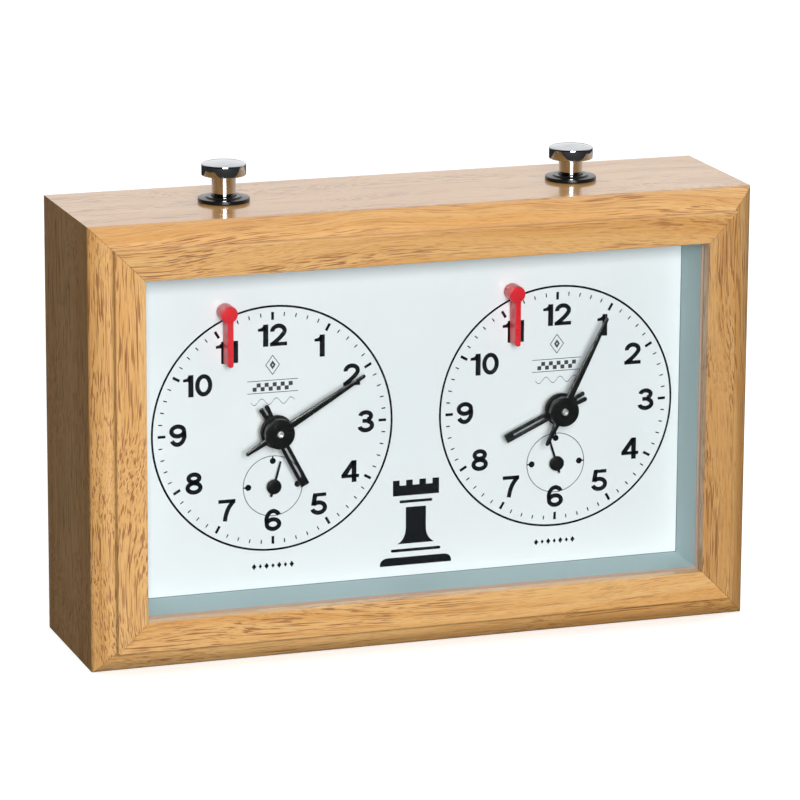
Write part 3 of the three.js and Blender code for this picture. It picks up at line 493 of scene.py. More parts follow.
def board_profile():
    """Cross-section of a board as (depth Y, inset): a rounded arris, an ogee, a small step and a flat band.

    Each flat has a point just beside its ends, so that it is shaded flat.
    """
    edge = CASE_FRONT + OUTER_EDGE
    beside = 0.12

    def front(inset, rise):
        return (edge - rise, inset)

    points = [(CASE_BACK, 0.5)]
    points += quadratic((CASE_BACK, 0.5), (CASE_BACK, 0.0), (CASE_BACK - 0.5, 0.0), 4)
    points += [(CASE_BACK - 0.5 - beside, 0.0), (0.0, 0.0), front(0, -1.5 - beside), front(0, -1.5)]
    points += quadratic(front(0, -1.5), front(0, -0.62), front(1.3, 0.3), 8)
    points += quadratic(front(1.3, 0.3), front(2.9, 1.85), front(4.6, 2.4), 8)
    points += quadratic(front(4.6, 2.4), front(6.15, 2.75), front(6.3, 3.7), 8)
    points += [front(6.3, 4.95)]
    points += quadratic(front(6.3, 4.95), front(6.3, OUTER_EDGE), front(6.8, OUTER_EDGE), 6)
    points += [(CASE_FRONT, 6.8 + beside), (CASE_FRONT, BAND - 0.35 - beside), (CASE_FRONT, BAND - 0.35)]
    points += quadratic((CASE_FRONT, BAND - 0.35), (CASE_FRONT, BAND), (CASE_FRONT + 0.35, BAND), 4)
    points += [(CASE_FRONT + LIP, BAND), (CASE_FRONT + LIP, WALL), (LEDGE_Y, WALL), (LEDGE_Y, REBATE)]
    points += [(CASE_BACK, REBATE)]
    return points


def case_board(name, length, place, material):
    """One mitred board, drawn along X with its outside at z = 0."""
    bm = bmesh.new()
    rings = []
    for end in (-1, 1):
        ring = []
        for depth, inset in board_profile():
            reach = length / 2 - inset - MITRE_GAP
            ring.append(place @ Vector((end * reach, depth, inset)))
        rings.append(ring)
    loft(bm, rings)
    board = finish_mesh(bm, name, material, CUT_SHARP)
    return attach(board, "case", "oak_case", name.replace("board_", "case_"))


def cut_away(obj, cutter):
    """Cuts one piece's shape out of another, and keeps the result as its mesh."""
    cut = obj.modifiers.new("cut", "BOOLEAN")
    cut.operation = "DIFFERENCE"
    cut.solver = "EXACT"
    cut.object = cutter
    graph = bpy.context.evaluated_depsgraph_get()
    made = bpy.data.meshes.new_from_object(obj.evaluated_get(graph))
    obj.modifiers.clear()
    obj.data = made
    made.set_sharp_from_angle(angle=math.radians(CUT_SHARP))
    bpy.data.objects.remove(cutter)


def drill(obj, centre, radius):
    """Cuts an upright round hole through a piece."""
    bm = bmesh.new()
    depth = WALL * 3
    turn(bm, [(0, -depth), (radius, -depth), (radius, depth), (0, depth)], centre, "Z", 48)
    cut_away(obj, finish_mesh(bm, "cutter", []))


def build_case():
    up = Matrix.Translation((0, 0, CASE_HEIGHT)) @ Matrix.Rotation(math.pi, 4, "Y")
    middle = CASE_HEIGHT / 2
    left = Matrix.Translation((CASE_LOW.x, 0, middle)) @ Matrix.Rotation(math.pi / 2, 4, "Y")
    right = Matrix.Translation((CASE_HIGH.x, 0, middle)) @ Matrix.Rotation(-math.pi / 2, 4, "Y")
    # the last number darkens each board: painted shade for how the light falls on that side, the right side and
    # the top darkest
    case_board("board_bottom", CASE_WIDTH, Matrix.Identity(4), wood("wood_bottom", "X", 2.3, 0.93))
    top = case_board("board_top", CASE_WIDTH, up, wood("wood_top", "X", 5.1, 0.86))
    case_board("board_left_side", CASE_HEIGHT, left, wood("wood_left", "Z", 8.6, 0.93, 0.12))
    case_board("board_right_side", CASE_HEIGHT, right, wood("wood_right", "Z", 11.9, 0.75, 0.06))
    for side in SIDES:
        low, high = node_box(f"{side}_button_collar")
        centre = (low + high) / 2
        drill(top, (centre.x, centre.y, CASE_HEIGHT), COLLAR_HOLE)


def build_lining():
    """Card frame between the glass and the dials: grey, with a brownish front edge, and a dark band at the back
    that paints the shade in the gap before the dials.
    """
    low, high = node_box("lining_frame")
    outer = CASE_WIDTH / 2 - high.x
    front, dial = 15.5, 18.1                # inset at the glass and at the dials
    edge, shade_band, step = 0.45, 0.35, 0.02     # depth of the cut edge and of the band of painted shade, and a step between
    shade_start = dial - (dial - front) * shade_band / (high.y - low.y)

    def ring(y, across, up):
        half = CASE_WIDTH / 2 - across
        return [(x, y, z) for x, z in oblong(-half, half, up, CASE_HEIGHT - up)]

    rings = [
        ring(low.y, outer, low.z),
        ring(low.y, front, front),
        ring(low.y + edge, front + step, front + step),
        ring(high.y - shade_band, shade_start, shade_start),
        ring(high.y, dial, dial),
        ring(high.y, outer, low.z),
    ]
    bm = bmesh.new()
    loft(bm, rings + rings[:1], closed_ends=False)
    slack = 0.01
    for face in bm.faces:
        depths = [corner.co.y for corner in face.verts]
        if max(depths) < low.y + edge + slack:
            face.material_index = 1
        # the band just before the dials takes the painted gap shade
        elif min(depths) > high.y - shade_band - slack and face.calc_center_median().y < high.y - slack:
            face.material_index = 2
    lining = finish_mesh(bm, "card_lining", [LINING_CARD, CARD_EDGE, CARD_GAP_SHADE])
    attach(lining, "case", "lining_card", "lining_frame")


# ----------------------------------------------------------------------
# Print on the dial plate
# ----------------------------------------------------------------------

PRINT_Y = DIAL_FRONT - 0.02                 # the ink lies just in front of the plate
NUMERAL_HEIGHT = 6.5
NUMERAL_PLACES = {                          # from a dial's centre, to the right and up
    1: (14.1, 23.4), 2: (23.8, 14.2), 3: (28.2, 0.0), 4: (23.4, -14.6),
    5: (13.9, -23.5), 6: (0.0, -27.2), 7: (-13.8, -23.2), 8: (-23.6, -14.4),
    9: (-28.3, 0.1), 10: (-22.3, 14.3), 11: (-13.6, 23.4), 12: (0.0, 27.5),
}
DIAL_RING = (36.0, 0.62)                    # radius and width of a circle
SECONDS_RING = (8.9, 0.22)
MINUTE_TICK = (33.1, 34.25, 0.34)           # inner and outer end, and width
HOUR_TICK = (32.0, 34.3, 0.82)
SECONDS_TICK = (7.4, 8.8, 0.42)
SECONDS_DOT = 0.92


def flat(bm, points):
    """A flat printed patch in front of the plate."""
    bm.faces.new([bm.verts.new((x, PRINT_Y, z)) for x, z in points])


def add_print(bm, name, material):
    """Adds printed patches as one piece of the case, all facing the front."""
    for face in bm.faces:
        face.normal_update()
        if face.normal.y > 0:
            face.normal_flip()
    attach(add_object(bm, name, [material]), "case", "hand_black")


def dial_point(centre, radius, angle):
    """A place on the plate, clockwise from the top."""
    return (centre[0] + radius * math.sin(angle), centre[1] + radius * math.cos(angle))


def band_ring(bm, centre, radius, width, steps=160):
    """A printed circle."""
    rows = []
    for r in (radius - width / 2, radius + width / 2):
        points = [dial_point(centre, r, angle) for angle in full_circle(steps)]
        rows.append([bm.verts.new((x, PRINT_Y, z)) for x, z in points])
    skin(bm, rows)


def disc(bm, centre, radius, steps=32):
    flat(bm, [dial_point(centre, radius, angle) for angle in full_circle(steps)])


def tick(bm, centre, angle, r0, r1, width):
    """A printed bar that points away from a centre."""
    s, c = math.sin(math.radians(angle)), math.cos(math.radians(angle))
    corners = [(-width / 2, r0), (width / 2, r0), (width / 2, r1), (-width / 2, r1)]
    flat(bm, [(centre[0] + x * c + r * s, centre[1] - x * s + r * c) for x, r in corners])


def arc(centre, reach, start, end, steps=28):
    """Points of an elliptical arc, from one angle to another, anticlockwise from the right."""
    angles = [math.radians(start + (end - start) * i / steps) for i in range(steps + 1)]
    return [(centre[0] + reach[0] * math.cos(a), centre[1] + reach[1] * math.sin(a)) for a in angles]


STROKE = 0.2                                # thickness of a numeral's strokes, as a share of its height
ADVANCE = 0.72                              # width of a digit's cell before it is widened
WIDEN = 1.2
DIGIT_GAP = 0.06
LOW_BOWL = ((0.365, 0.31), (0.24, 0.218))
TALL_OVAL = ((0.375, 0.5), (0.262, 0.408))

# Each digit has solid patches and stroked lines, in a cell as wide as ADVANCE and one high
DIGITS = {
    "0": ([], [arc((0.36, 0.5), (0.245, 0.405), 0, 360, 48)]),
    "1": ([oblong(0.30, 0.50, 0, 1),
           [(0.10, 0.70), (0.40, 0.70), (0.40, 1.0), (0.335, 1.0), (0.30, 0.92), (0.22, 0.85),
            (0.10, 0.82)]], []),
    "2": ([oblong(0.03, 0.69, 0, 0.172)],
          [arc((0.36, 0.68), (0.235, 0.225), 186, -28)
           + quadratic((0.567, 0.574), (0.45, 0.37), (0.13, 0.10), 8)]),
    "3": ([oblong(0.22, 0.46, 0.43, 0.61)],
          [arc((0.345, 0.735), (0.21, 0.172), 172, -70), arc((0.35, 0.30), (0.245, 0.207), 72, -172)]),
    "4": ([oblong(0.42, 0.61, 0, 1), oblong(0.02, 0.71, 0.205, 0.365),
           [(0.02, 0.365), (0.02, 0.30), (0.23, 0.30), (0.61, 1.0), (0.42, 1.0)]], []),
    "5": ([oblong(0.14, 0.65, 0.835, 1.0), [(0.06, 0.44), (0.245, 0.42), (0.30, 0.90), (0.13, 0.94)]],
          [arc((0.35, 0.325), (0.25, 0.235), 140, -166)]),
    "6": ([], [arc(*LOW_BOWL, 0, 360, 40), arc(*TALL_OVAL, 200, 34)]),
    "7": ([oblong(0.03, 0.69, 0.83, 1.0)],
          [[(0.62, 0.90)] + quadratic((0.62, 0.90), (0.33, 0.58), (0.28, 0.0), 10)]),
    "8": ([], [arc((0.36, 0.735), (0.205, 0.172), 0, 360, 36),
               arc((0.36, 0.30), (0.245, 0.207), 0, 360, 40)]),
}
DIGITS["9"] = ([], [[(ADVANCE - x, 1 - z) for x, z in line] for line in DIGITS["6"][1]])


def ribbon(bm, path, width):
    """A printed line of even width along a path."""
    edges = []
    last = len(path) - 1
    closed = (Vector(path[0]) - Vector(path[-1])).length < 1e-6
    for i, point in enumerate(path):
        before = Vector(path[i - 1] if i else (path[last - 1] if closed else path[0]))
        after = Vector(path[i + 1] if i < last else (path[1] if closed else path[last]))
        side = (after - before).normalized().orthogonal() * width / 2
        edges.append([(point[0] + s * side.x, point[1] + s * side.y) for s in (-1, 1)])
    for (a, b), (c, d) in zip(edges, edges[1:]):
        flat(bm, [a, b, d, c])


def numeral(bm, text, centre, height):
    """A bold plain numeral, upright, with its middle at a centre."""
    spans = [(0.10, 0.50) if digit == "1" else (0.02, 0.70) for digit in text]
    pen = -(sum(right - left for left, right in spans) * WIDEN + DIGIT_GAP * (len(text) - 1)) / 2
    for digit, (left, right) in zip(text, spans):
        origin = pen - left * WIDEN
        pen += (right - left) * WIDEN + DIGIT_GAP

        def put(points):
            placed = [(origin + x * WIDEN, z - 0.5) for x, z in points]
            return [(centre[0] + x * height, centre[1] + z * height) for x, z in placed]

        patches, lines = DIGITS[digit]
        for patch in patches:
            flat(bm, put(patch))
        for line in lines:
            ribbon(bm, put(line), STROKE * height)


def dial_print(side):
    """Circle, ticks, numerals and the dots of the seconds dial."""
    middle = PIVOTS[f"{side}_minute_turn"]
    centre = (middle.x, middle.z)
    below = PIVOTS[f"{side}_seconds_turn"]
    seconds = (below.x, below.z)
    bm = bmesh.new()
    band_ring(bm, centre, *DIAL_RING)
    for minute in range(60):
        tick(bm, centre, minute * 6, *(MINUTE_TICK if minute % 5 else HOUR_TICK))
    for hour, (right, up) in NUMERAL_PLACES.items():
        numeral(bm, str(hour), (centre[0] + right, centre[1] + up), NUMERAL_HEIGHT)
    for angle in (0, 90, 270):
        disc(bm, dial_point(seconds, SECONDS_TICK[0], math.radians(angle)), SECONDS_DOT)
        tick(bm, seconds, angle, *SECONDS_TICK)
    add_print(bm, f"{side}_dial_print", BLACK_PRINT)
    bm = bmesh.new()
    band_ring(bm, seconds, *SECONDS_RING, 96)
    add_print(bm, f"{side}_seconds_circle", GREY_PRINT)
    bm = bmesh.new()
    emblem(bm, centre)
    add_print(bm, f"{side}_emblem_print", GREY_PRINT)


def emblem(bm, centre):
    """A plain ornament: a lozenge over a strip of chess squares between two lines, and a thin wave below."""
    x, z = centre
    line = 0.2
    for height in (14.2, 10.6):
        flat(bm, oblong(x - 7.6, x + 7.6, z + height, z + height + line))
    square, columns, rows = 1.2, 10, 2
    for row in range(rows):
        for column in range(row, columns, 2):
            left = x - square * columns / 2 + column * square
            low = z + 11.25 + row * square
            flat(bm, oblong(left, left + square, low, low + square))
    middle = z + 18.8
    for width, height, thick in ((2.2, 3.0, 0.28), (0.9, 1.3, 0.65)):
        outer = [(0, height), (width, 0), (0, -height), (-width, 0)]
        inner = [(px * (1 - thick / width), pz * (1 - thick / width)) for px, pz in outer]
        for i in range(4):
            j = (i + 1) % 4
            flat(bm, [(x + px, middle + pz) for px, pz in (outer[i], outer[j], inner[j], inner[i])])
    steps, length, swing, pitch = 48, 13.2, 0.9, 1.43
    offsets = [-length / 2 + length * i / steps for i in range(steps + 1)]
    wave = [(x + u, z + 8.0 + swing * math.sin(u * pitch)) for u in offsets]
    for (x0, z0), (x1, z1) in zip(wave, wave[1:]):
        flat(bm, [(x0, z0), (x1, z1), (x1, z1 + line), (x0, z0 + line)])


def lozenges(side):
    """A short row of lozenges below each dial, large and small in turn."""
    middle = PIVOTS[f"{side}_minute_turn"]
    number, pitch, slim = 7, 1.9, 0.72
    z = middle.z - 40.8
    bm = bmesh.new()
    for i in range(number):
        x = middle.x + (i - number // 2) * pitch
        r = 0.72 if i % 2 else 0.95
        flat(bm, [(x, z + r), (x + r * slim, z), (x, z - r), (x - r * slim, z)])
    add_print(bm, f"{side}_row_print", BLACK_PRINT)


def mirrored(points, middle):
    """An outline from its right half, given from the middle."""
    return [(middle + x, z) for x, z in points] + [(middle - x, z) for x, z in reversed(points)]


def rook_print():
    """The chess rook between the dials, in one colour."""
    bm = bmesh.new()
    middle, floor = 0.2, 21.2

    teeth, merlon, gap = 4, 2.05, 2.0
    top, notch, under = floor + 25.65, floor + 24.05, floor + 20.95
    half = (teeth * merlon + (teeth - 1) * gap) / 2
    flat(bm, oblong(middle - half, middle + half, under, notch))
    for i in range(teeth):
        left = middle - half + i * (merlon + gap)
        flat(bm, oblong(left, left + merlon, notch, top))
    flat(bm, oblong(middle - 5.0, middle + 5.0, floor + 18.75, floor + 19.6))

    neck, foot = 3.1, 5.7
    body = [(neck, floor + 17.45), (neck, floor + 11.3)]
    body += quadratic(body[-1], (neck, floor + 7.8), (foot, floor + 6.45), 10)
    flat(bm, mirrored(body, middle))

    reach, low, high = 7.2, floor + 4.05, floor + 4.95
    flat(bm, oblong(middle - reach, middle + reach, low, high))
    for side in (-1, 1):
        disc(bm, (middle + side * reach, floor + 4.5), 0.45, 16)
    base = [(11.0, floor), (11.0, floor + 0.6)]
    base += quadratic(base[-1], (10.7, floor + 2.4), (8.6, floor + 2.45), 8)
    flat(bm, mirrored(base, middle))
    add_print(bm, "rook_print", BLACK_PRINT)


# ----------------------------------------------------------------------
# Hands and flags
# ----------------------------------------------------------------------

REST_ANGLES = {
    "left": {"minute": 59.7, "hour": 152.4, "seconds": 15.8},
    "right": {"minute": 26.6, "hour": 245.4, "seconds": -17.1},
}


def rounded_blade(bm, stations, back, height, place, round_ends=(True, True)):
    """A tapered blade with a rounded front. stations are (place along, left edge, right edge)."""
    upright, fullness, steps = 0.12, 0.7, 8     # height of the sides, and shape of the front above them
    if round_ends[0]:
        stations = end_cap(stations[0], -1) + stations
    if round_ends[1]:
        stations = stations + end_cap(stations[-1], 1)[::-1]
    widest = max(right - left for _, left, right in stations)
    rings = []
    for along, left, right in stations:
        middle, half = (left + right) / 2, (right - left) / 2
        rise = height * (0.35 + 0.65 * half * 2 / widest)
        section = [(middle - half, back)]
        for i in range(steps + 1):
            angle = math.pi * i / steps
            lift = upright + (rise - upright) * math.sin(angle) ** fullness
            section.append((middle - half * math.cos(angle), back - lift))
        section.append((middle + half, back))
        rings.append([place @ Vector((x, y, along)) for x, y in section])
    loft(bm, rings)


def end_cap(station, direction):
    """Stations that round off the end of a blade."""
    along, left, right = station
    middle, half = (left + right) / 2, (right - left) / 2
    caps = []
    steps, whole = 4, 4.4                       # the steps stop just short of a pointed end
    for i in range(1, steps + 1):
        angle = math.pi / 2 * i / whole
        reach = half * math.cos(angle)
        caps.append((along + direction * half * math.sin(angle), middle - reach, middle + reach))
    return caps[::-1]


def hub(bm, centre, radius, bore, front, back):
    """A round boss with an eased front edge."""
    ease = min(0.35, (back - front) * 0.4)
    chamfer = 0.12
    profile = [(bore, back), (radius, back), (radius, front + ease)]
    profile += quadratic(profile[-1], (radius, front), (radius - ease, front), 5)
    profile += [(bore + chamfer, front), (bore, front + chamfer)]
    ring_solid(bm, profile, (centre.x, 0, centre.z))


def even(*stations):
    """Stations of a blade with its edges equally far from its middle, from (place along, half width)."""
    return [(along, -half, half) for along, half in stations]


def build_minute_hand(side):
    """A long tapered blade and a tail on a round boss."""
    low, high = node_box(f"{side}_minute_hand")
    centre = PIVOTS[f"{side}_minute_turn"]
    place = spin(REST_ANGLES[side]["minute"], (centre.x, 0, centre.z))
    radius, bore, rise = 4.4, 1.1, 0.54
    bm = bmesh.new()
    rounded_blade(bm, even((3.0, 1.14), (17.0, 0.92), (29.5, 0.55)), high.y, rise, place)
    rounded_blade(bm, even((-10.8, 0.55), (-3.0, 1.05)), high.y, rise, place)
    hub(bm, centre, radius, bore, low.y, high.y)
    hand = finish_mesh(bm, f"{side}_minute_hand_black", BLACK_PAINT, sharp=30)
    attach(hand, f"{side}_hand_setting", "hand_black", f"{side}_minute_hand")


def build_hour_hand(side):
    """Two rails joined at the tip, with a forked tail."""
    low, high = node_box(f"{side}_hour_hand")
    centre = PIVOTS[f"{side}_minute_turn"]
    place = spin(REST_ANGLES[side]["hour"], (centre.x, 0, centre.z))
    radius, bore, rise = 4.9, 2.8, 0.5
    slot, half, joined, tip = 0.3, 1.35, 16.0, 18.6
    bm = bmesh.new()
    for sign in (-1, 1):
        rail = sorted((sign * slot, sign * half))
        rounded_blade(bm, [(4.0, *rail), (tip, *rail)], high.y, rise, place, (False, False))
        end, root = sorted((sign * 0.26, sign * 1.58)), sorted((sign * slot, sign * 1.3))
        rounded_blade(bm, [(-7.9, *end), (-4.0, *root)], high.y, rise, place, (True, False))
    prism(bm, oblong(-half + 0.05, half - 0.05, joined, tip), high.y - 0.42, high.y, place)
    for first, last in ((3.5, 5.6), (-5.6, -3.5)):
        prism(bm, oblong(-1.0, 1.0, first, last), high.y - 0.4, high.y, place)
    hub(bm, centre, radius, bore, low.y, high.y)
    hand = finish_mesh(bm, f"{side}_hour_hand_black", BLACK_PAINT, sharp=30)
    attach(hand, f"{side}_hour", "hand_black", f"{side}_hour_hand")


def build_seconds_hand(side):
    """A short thin blade on a turned boss, which is closed over the end of its arbor."""
    low, high = node_box(f"{side}_seconds_hand")
    centre = PIVOTS[f"{side}_seconds_turn"]
    place = spin(REST_ANGLES[side]["seconds"], (centre.x, 0, centre.z))
    bm = bmesh.new()
    radius, bore, floor, rise = 2.2, 0.7, low.y + 0.25, 0.36
    rounded_blade(bm, even((1.6, 0.35), (7.4, 0.28)), high.y, rise, place)
    rounded_blade(bm, even((-2.8, 0.34), (-1.6, 0.35)), high.y, rise, place)
    boss = [(0, floor), (bore, floor), (bore, high.y), (radius, high.y), (radius, low.y + 0.3)]
    boss += quadratic(boss[-1], (radius - 0.1, low.y + 0.06), (radius * 0.6, low.y), 6) + [(0, low.y)]
    turn(bm, boss, (centre.x, 0, centre.z), "Y", 48)
    hand = finish_mesh(bm, f"{side}_seconds_hand_black", BLACK_PAINT, sharp=30)
    attach(hand, f"{side}_fourth", "hand_black", f"{side}_seconds_hand")


def bevel(obj, width, segments):
    """Eases the sharp edges of a piece."""
    modifier = obj.modifiers.new("eased edges", "BEVEL")
    modifier.width = width * MM
    modifier.segments = segments
    modifier.limit_method = "ANGLE"
    modifier.angle_limit = math.radians(30)
    modifier.harden_normals = True


def build_flag(side):
    """A red flag: a round head bored for its pin, and a straight blade, both as deep as the flag."""
    low, high = node_box(f"{side}_flag")
    centre = PIVOTS[f"{side}_flag_lift"]
    left, right, root, tip = -0.5, 1.2, -1.2, low.z - centre.z     # of the blade, from the pin
    bm = bmesh.new()
    outline = [(left, root), (left, tip + 0.6), (0.1, tip)]
    outline += [(right - 0.35, tip), (right, tip + 0.35), (right, root)]
    prism(bm, outline, low.y + 0.15, high.y, Matrix.Translation((centre.x, 0, centre.z)))
    blade = finish_mesh(bm, f"{side}_flag_blade", RED_PLASTIC)
    bevel(blade, 0.3, 4)
    attach(blade, f"{side}_flag_body", "flag_red")
    bm = bmesh.new()
    radius, bore, floor = centre.x - low.x, 0.95, low.y + 1.2
    head = rounded([(0, low.y), (radius, low.y), (radius, high.y), (bore, high.y)], 0.28, 5)
    turn(bm, head + [(bore, floor), (0, floor)], (centre.x, 0, centre.z), "Y", 64)
    head = finish_mesh(bm, f"{side}_flag_head", RED_PLASTIC)
    attach(head, f"{side}_flag_body", "flag_red", f"{side}_flag")


# ----------------------------------------------------------------------
# Buttons
# ----------------------------------------------------------------------

def build_button(side):
    """Chrome push button: a thick cap with eased edges, slightly domed, on a plain stem."""
    low, high = node_box(f"{side}_push_button")
    centre = (low + high) / 2
    cap, stem, dome, edge = 6.4, 3.45, 5.5, 0.72
    top = high.z
    under = top - 4.2
    tip, shoulder = 1.6, under - 16.2
    profile = [(0, low.z), (tip, low.z), (tip, shoulder), (stem, shoulder), (stem, under), (cap, under)]
    profile = rounded(profile + [(cap, top - edge - 0.6)], 0.2, 4)
    profile += quadratic(profile[-1], (cap, top - edge), (cap - 0.55, top - edge), 6)
    profile += [(dome + 0.2, top - edge - 0.12), (dome, top - edge)]
    profile += [(r, top - edge * (r / dome) ** 2) for r in (4.8, 4.1, 3.4, 2.6, 1.8, 1.0)]
    profile.append((0, top))
    bm = bmesh.new()
    turn(bm, profile, (centre.x, centre.y, 0), "Z", 96)
    button = finish_mesh(bm, f"{side}_button_chrome", CHROME, sharp=40)
    attach(button, f"{side}_button", "chrome", f"{side}_push_button")


def build_collar(side):
    """Black collar: a flat washer with a raised ring round the stem."""
    low, high = node_box(f"{side}_button_collar")
    centre = (low + high) / 2
    seat = CASE_HEIGHT + 0.05
    washer = CASE_HEIGHT + 1.15
    bore, tube, rim = 3.66, 4.5, 7.5
    profile = [(bore, low.z), (tube, low.z), (tube, seat), (rim, seat), (rim, washer), (5.4, washer)]
    profile += [(5.2, high.z), (bore, high.z), (bore, low.z)]
    bm = bmesh.new()
    ring_solid(bm, rounded(profile, 0.22, 3)[:-1], (centre.x, centre.y, 0), "Z", 96)
    collar = finish_mesh(bm, f"{side}_collar_black", COLLAR_BLACK, sharp=40)
    attach(collar, "case", "black_collar", f"{side}_button_collar")


# ----------------------------------------------------------------------
# Back: knobs, keys and screws
# ----------------------------------------------------------------------

def build_setting_arbor(side):
    """The setting knob with its knurled edge, the arbor, and the pin in the middle of the minute hand."""
    low, high = node_box(f"{side}_setting_arbor")
    centre = PIVOTS[f"{side}_minute_turn"]
    knob_front = high.y - 5.0

    def knurl(angle, radius, along):
        return 1 + (0.025 * math.cos(36 * angle) if radius > 4.5 and along > knob_front else 0)

    pin, pipe, shaft, neck, knob = 1.0, 1.6, 1.2, 3.4, 4.9     # radii, from the minute hand to the knob
    pipe_front, pipe_back, hollow = -17.65, -6.0, 0.4
    profile = [(0, low.y + 0.35), (0.4, low.y + 0.3), (0.45, low.y), (pin, low.y), (pin, pipe_front)]
    profile += [(pipe, pipe_front), (pipe, pipe_back), (shaft, pipe_back + 0.2), (shaft, knob_front)]
    profile += [(neck, knob_front), (neck + 0.2, knob_front + 1.0), (knob, knob_front + 1.2)]
    profile += [(knob, high.y), (neck, high.y), (neck - hollow, high.y - hollow), (0, high.y - hollow)]
    bm = bmesh.new()
    turn(bm, rounded(profile, 0.22, 3), (centre.x, 0, centre.z), "Y", 144, knurl)
    arbor = finish_mesh(bm, f"{side}_setting_knob", STEEL)
    attach(arbor, f"{side}_hand_setting", "steel", f"{side}_setting_arbor")


def build_winding_key(side):
    """Butterfly key: two round wings with finger holes, on a stout collar."""
    low, high = node_box(f"{side}_winding_key")
    centre = PIVOTS[f"{side}_winding"]
    arbor, collar, collar_front = 1.6, 3.0, high.y - 7.0
    stem = [(0, low.y), (arbor, low.y), (arbor, collar_front), (collar, collar_front)]
    stem += [(collar, high.y - 2.8), (0, high.y - 2.4)]
    bm = bmesh.new()
    turn(bm, rounded(stem, 0.25, 3), (centre.x, 0, centre.z), "Y", 48)
    wing, reach, half, hole = 3.3, 5.2, 0.9, 1.55
    section = rounded([(wing, -half), (wing, half), (hole, half), (hole, -half), (wing, -half)], 0.2, 2)[:-1]
    for sign in (-1, 1):
        ring_solid(bm, section, (centre.x + sign * reach, high.y - wing, centre.z), "Z", 40)
    inner = reach - wing + 0.5
    web = oblong(-inner, inner, high.y - 5.0, high.y - 1.6)
    loft(bm, [[(centre.x + x, y, centre.z + z) for x, y in web] for z in (-half + 0.1, half - 0.1)])
    key = finish_mesh(bm, f"{side}_butterfly_key", BRASS)
    attach(key, f"{side}_key", "brass", f"{side}_winding_key")


def build_screw(name):
    """A pan-head screw with a slot."""
    low, high = node_box(name)
    centre = (low + high) / 2
    head, shank, top = 2.1, 1.0, high.y
    profile = [(0, low.y), (0.35, low.y), (shank, low.y + 1.6), (shank, top - 1.2), (head, top - 1.2),
               (head, top - 0.7), (head * 0.8, top - 0.2), (head * 0.45, top - 0.02), (0, top)]
    bm = bmesh.new()
    turn(bm, profile, (centre.x, 0, centre.z), "Y", 48)
    screw = finish_mesh(bm, name.replace("back_screw", "pan_screw"), STEEL)
    slot = bmesh.new()
    turned = Matrix.Translation((centre.x, 0, centre.z)) @ Matrix.Rotation(0.35 * centre.x, 4, "Y")
    prism(slot, oblong(-3, 3, -0.3, 0.3), top - 0.55, top + 1, turned)
    cut_away(screw, finish_mesh(slot, "slot", []))
    attach(screw, "case", "steel", name)


# ----------------------------------------------------------------------
# Pieces that keep their CAD shape
# ----------------------------------------------------------------------

def dress_cad_nodes():
    """Gives every CAD node that stays its own finish."""
    finishes = {
        "white_dial": WHITE_ENAMEL,
        "pane": PANE,
        "panel_black": FIBRE_BOARD,
        "steel": STEEL,
        "brass": BRASS,
        "spring_steel": BLUED,
    }
    slots = {part["node"]: part["material_slot"] for part in frame["record"]["subparts"]}
    for name, obj in frame["nodes"].items():
        finish = finishes.get(slots[name])
        if finish:
            obj.data.materials.clear()
            obj.data.materials.append(finish)


# ----------------------------------------------------------------------
# Stage
# ----------------------------------------------------------------------

def build_floor():
    """A white floor that throws little light back on the object, as if it stood on a small table."""
    bm = bmesh.new()
    half = 4000                                 # far beyond what a camera sees
    bm.faces.new([bm.verts.new((x, y, 0)) for x, y in oblong(-half, half, -half, half)])
    t = Tree("floor")
    speck = t.noise(t.stretch(t.place(), (0.01, 0.01, 0.01)))
    seen = t.add("ShaderNodeLightPath").node.outputs["Is Camera Ray"]
    white = t.blend(speck, rgb(0.93, 0.93, 0.93), rgb(0.95, 0.95, 0.95))
    glow = t.math("MULTIPLY", seen, 0.42)
    material = t.surface(
        Base_Color=t.blend(seen, rgb(0.045, 0.045, 0.045), white),
        Roughness=0.9,
        Specular_IOR_Level=0.0,
        Emission_Color=rgb(1, 1, 1),
        Emission_Strength=glow,
    )
    finish_mesh(bm, "floor", material)


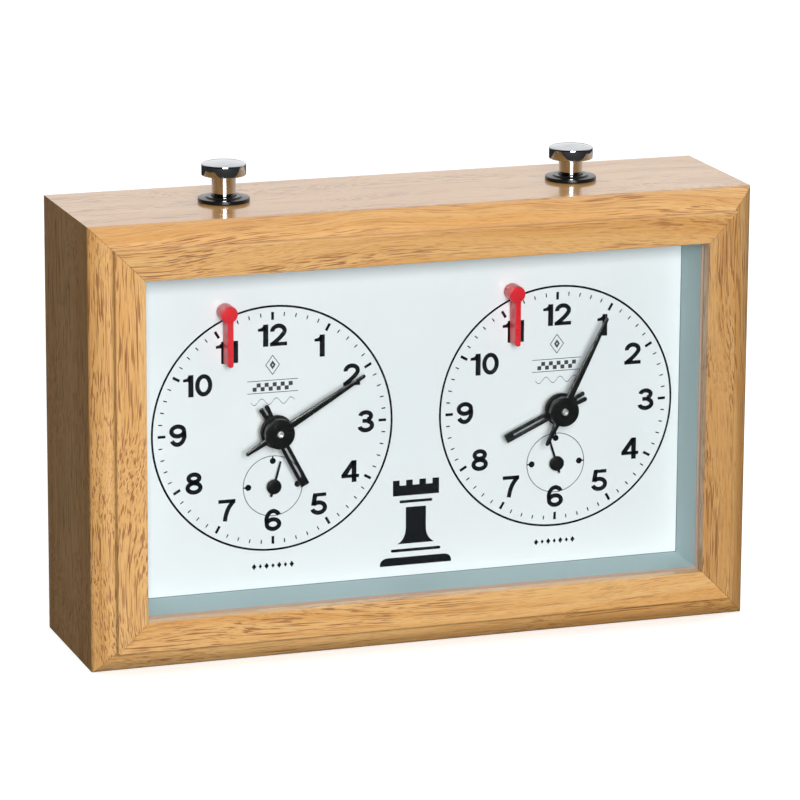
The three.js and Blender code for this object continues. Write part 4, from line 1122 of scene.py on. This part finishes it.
def build_world():
    """White behind the object, soft light from above and behind, and little from the front."""
    world = bpy.data.worlds.new("studio")
    bpy.context.scene.world = world
    world.use_nodes = True
    tree = world.node_tree
    tree.nodes.clear()
    brightest = Vector((0.32, 0.58, 0.66)).normalized()
    ray = add_node(tree, "ShaderNodeTexCoord").outputs["Generated"]
    lean = add_node(tree, "ShaderNodeVectorMath", {0: ray, 1: brightest}, operation="DOT_PRODUCT")
    dimmest, strongest, backdrop = 0.008, 1.35, 1.25
    levels = {"Value": lean.outputs["Value"]}
    levels |= {"From Min": 0.0, "From Max": 0.8, "To Min": dimmest, "To Max": strongest}
    ramp = add_node(tree, "ShaderNodeMapRange", levels, interpolation_type="SMOOTHSTEP").outputs[0]
    seen = add_node(tree, "ShaderNodeLightPath").outputs["Is Camera Ray"]
    strength = add_node(tree, "ShaderNodeMix", {0: seen, 2: ramp, 3: backdrop}, data_type="FLOAT").outputs[0]
    background = add_node(tree, "ShaderNodeBackground", {"Strength": strength}).outputs[0]
    add_node(tree, "ShaderNodeOutputWorld", {"Surface": background})


def build_key_light():
    """A square soft box in front, above and a little to the left, that points at the middle of the clock."""
    place, aim = Vector((-0.33, -2.0, 0.62)), Vector((0, 0, 0.065))
    lamp = bpy.data.lights.new("key", "AREA")
    lamp.shape = "SQUARE"
    lamp.size = 0.9
    lamp.energy = 53.0
    lamp.color = (1.0, 0.995, 0.985)
    holder = bpy.data.objects.new("key", lamp)
    holder.location = place
    holder.rotation_euler = (aim - place).to_track_quat("-Z", "Y").to_euler()
    bpy.context.scene.collection.objects.link(holder)


def build_camera():
    """Above and to the left of the clock, with a long lens."""
    camera = bpy.data.cameras.new("camera")
    camera.sensor_width = 36.0
    camera.lens = 212.5
    camera.clip_start = 0.05
    holder = bpy.data.objects.new("camera", camera)
    bpy.context.scene.collection.objects.link(holder)
    place = Vector((-0.43393, -1.26553, 0.40146))
    forward = Vector((0.31432, 0.91792, -0.24214)).normalized()
    up = Vector((0.07335, 0.23082, 0.97023))
    right = forward.cross(up).normalized()
    up = right.cross(forward)
    turned = Matrix((right, up, -forward)).transposed().to_4x4()
    holder.matrix_world = Matrix.Translation(place) @ turned
    bpy.context.scene.camera = holder


# ----------------------------------------------------------------------
# The whole clock
# ----------------------------------------------------------------------

build_camera()
dress_cad_nodes()
build_case()
build_lining()
rook_print()
for side in SIDES:
    dial_print(side)
    lozenges(side)
    build_minute_hand(side)
    build_hour_hand(side)
    build_seconds_hand(side)
    build_flag(side)
    build_button(side)
    build_collar(side)
    build_setting_arbor(side)
    build_winding_key(side)
for number in range(1, 5):
    build_screw(f"back_screw_{number}")
build_floor()
build_world()
build_key_light()
bpy.context.scene.view_settings.view_transform = "Standard"
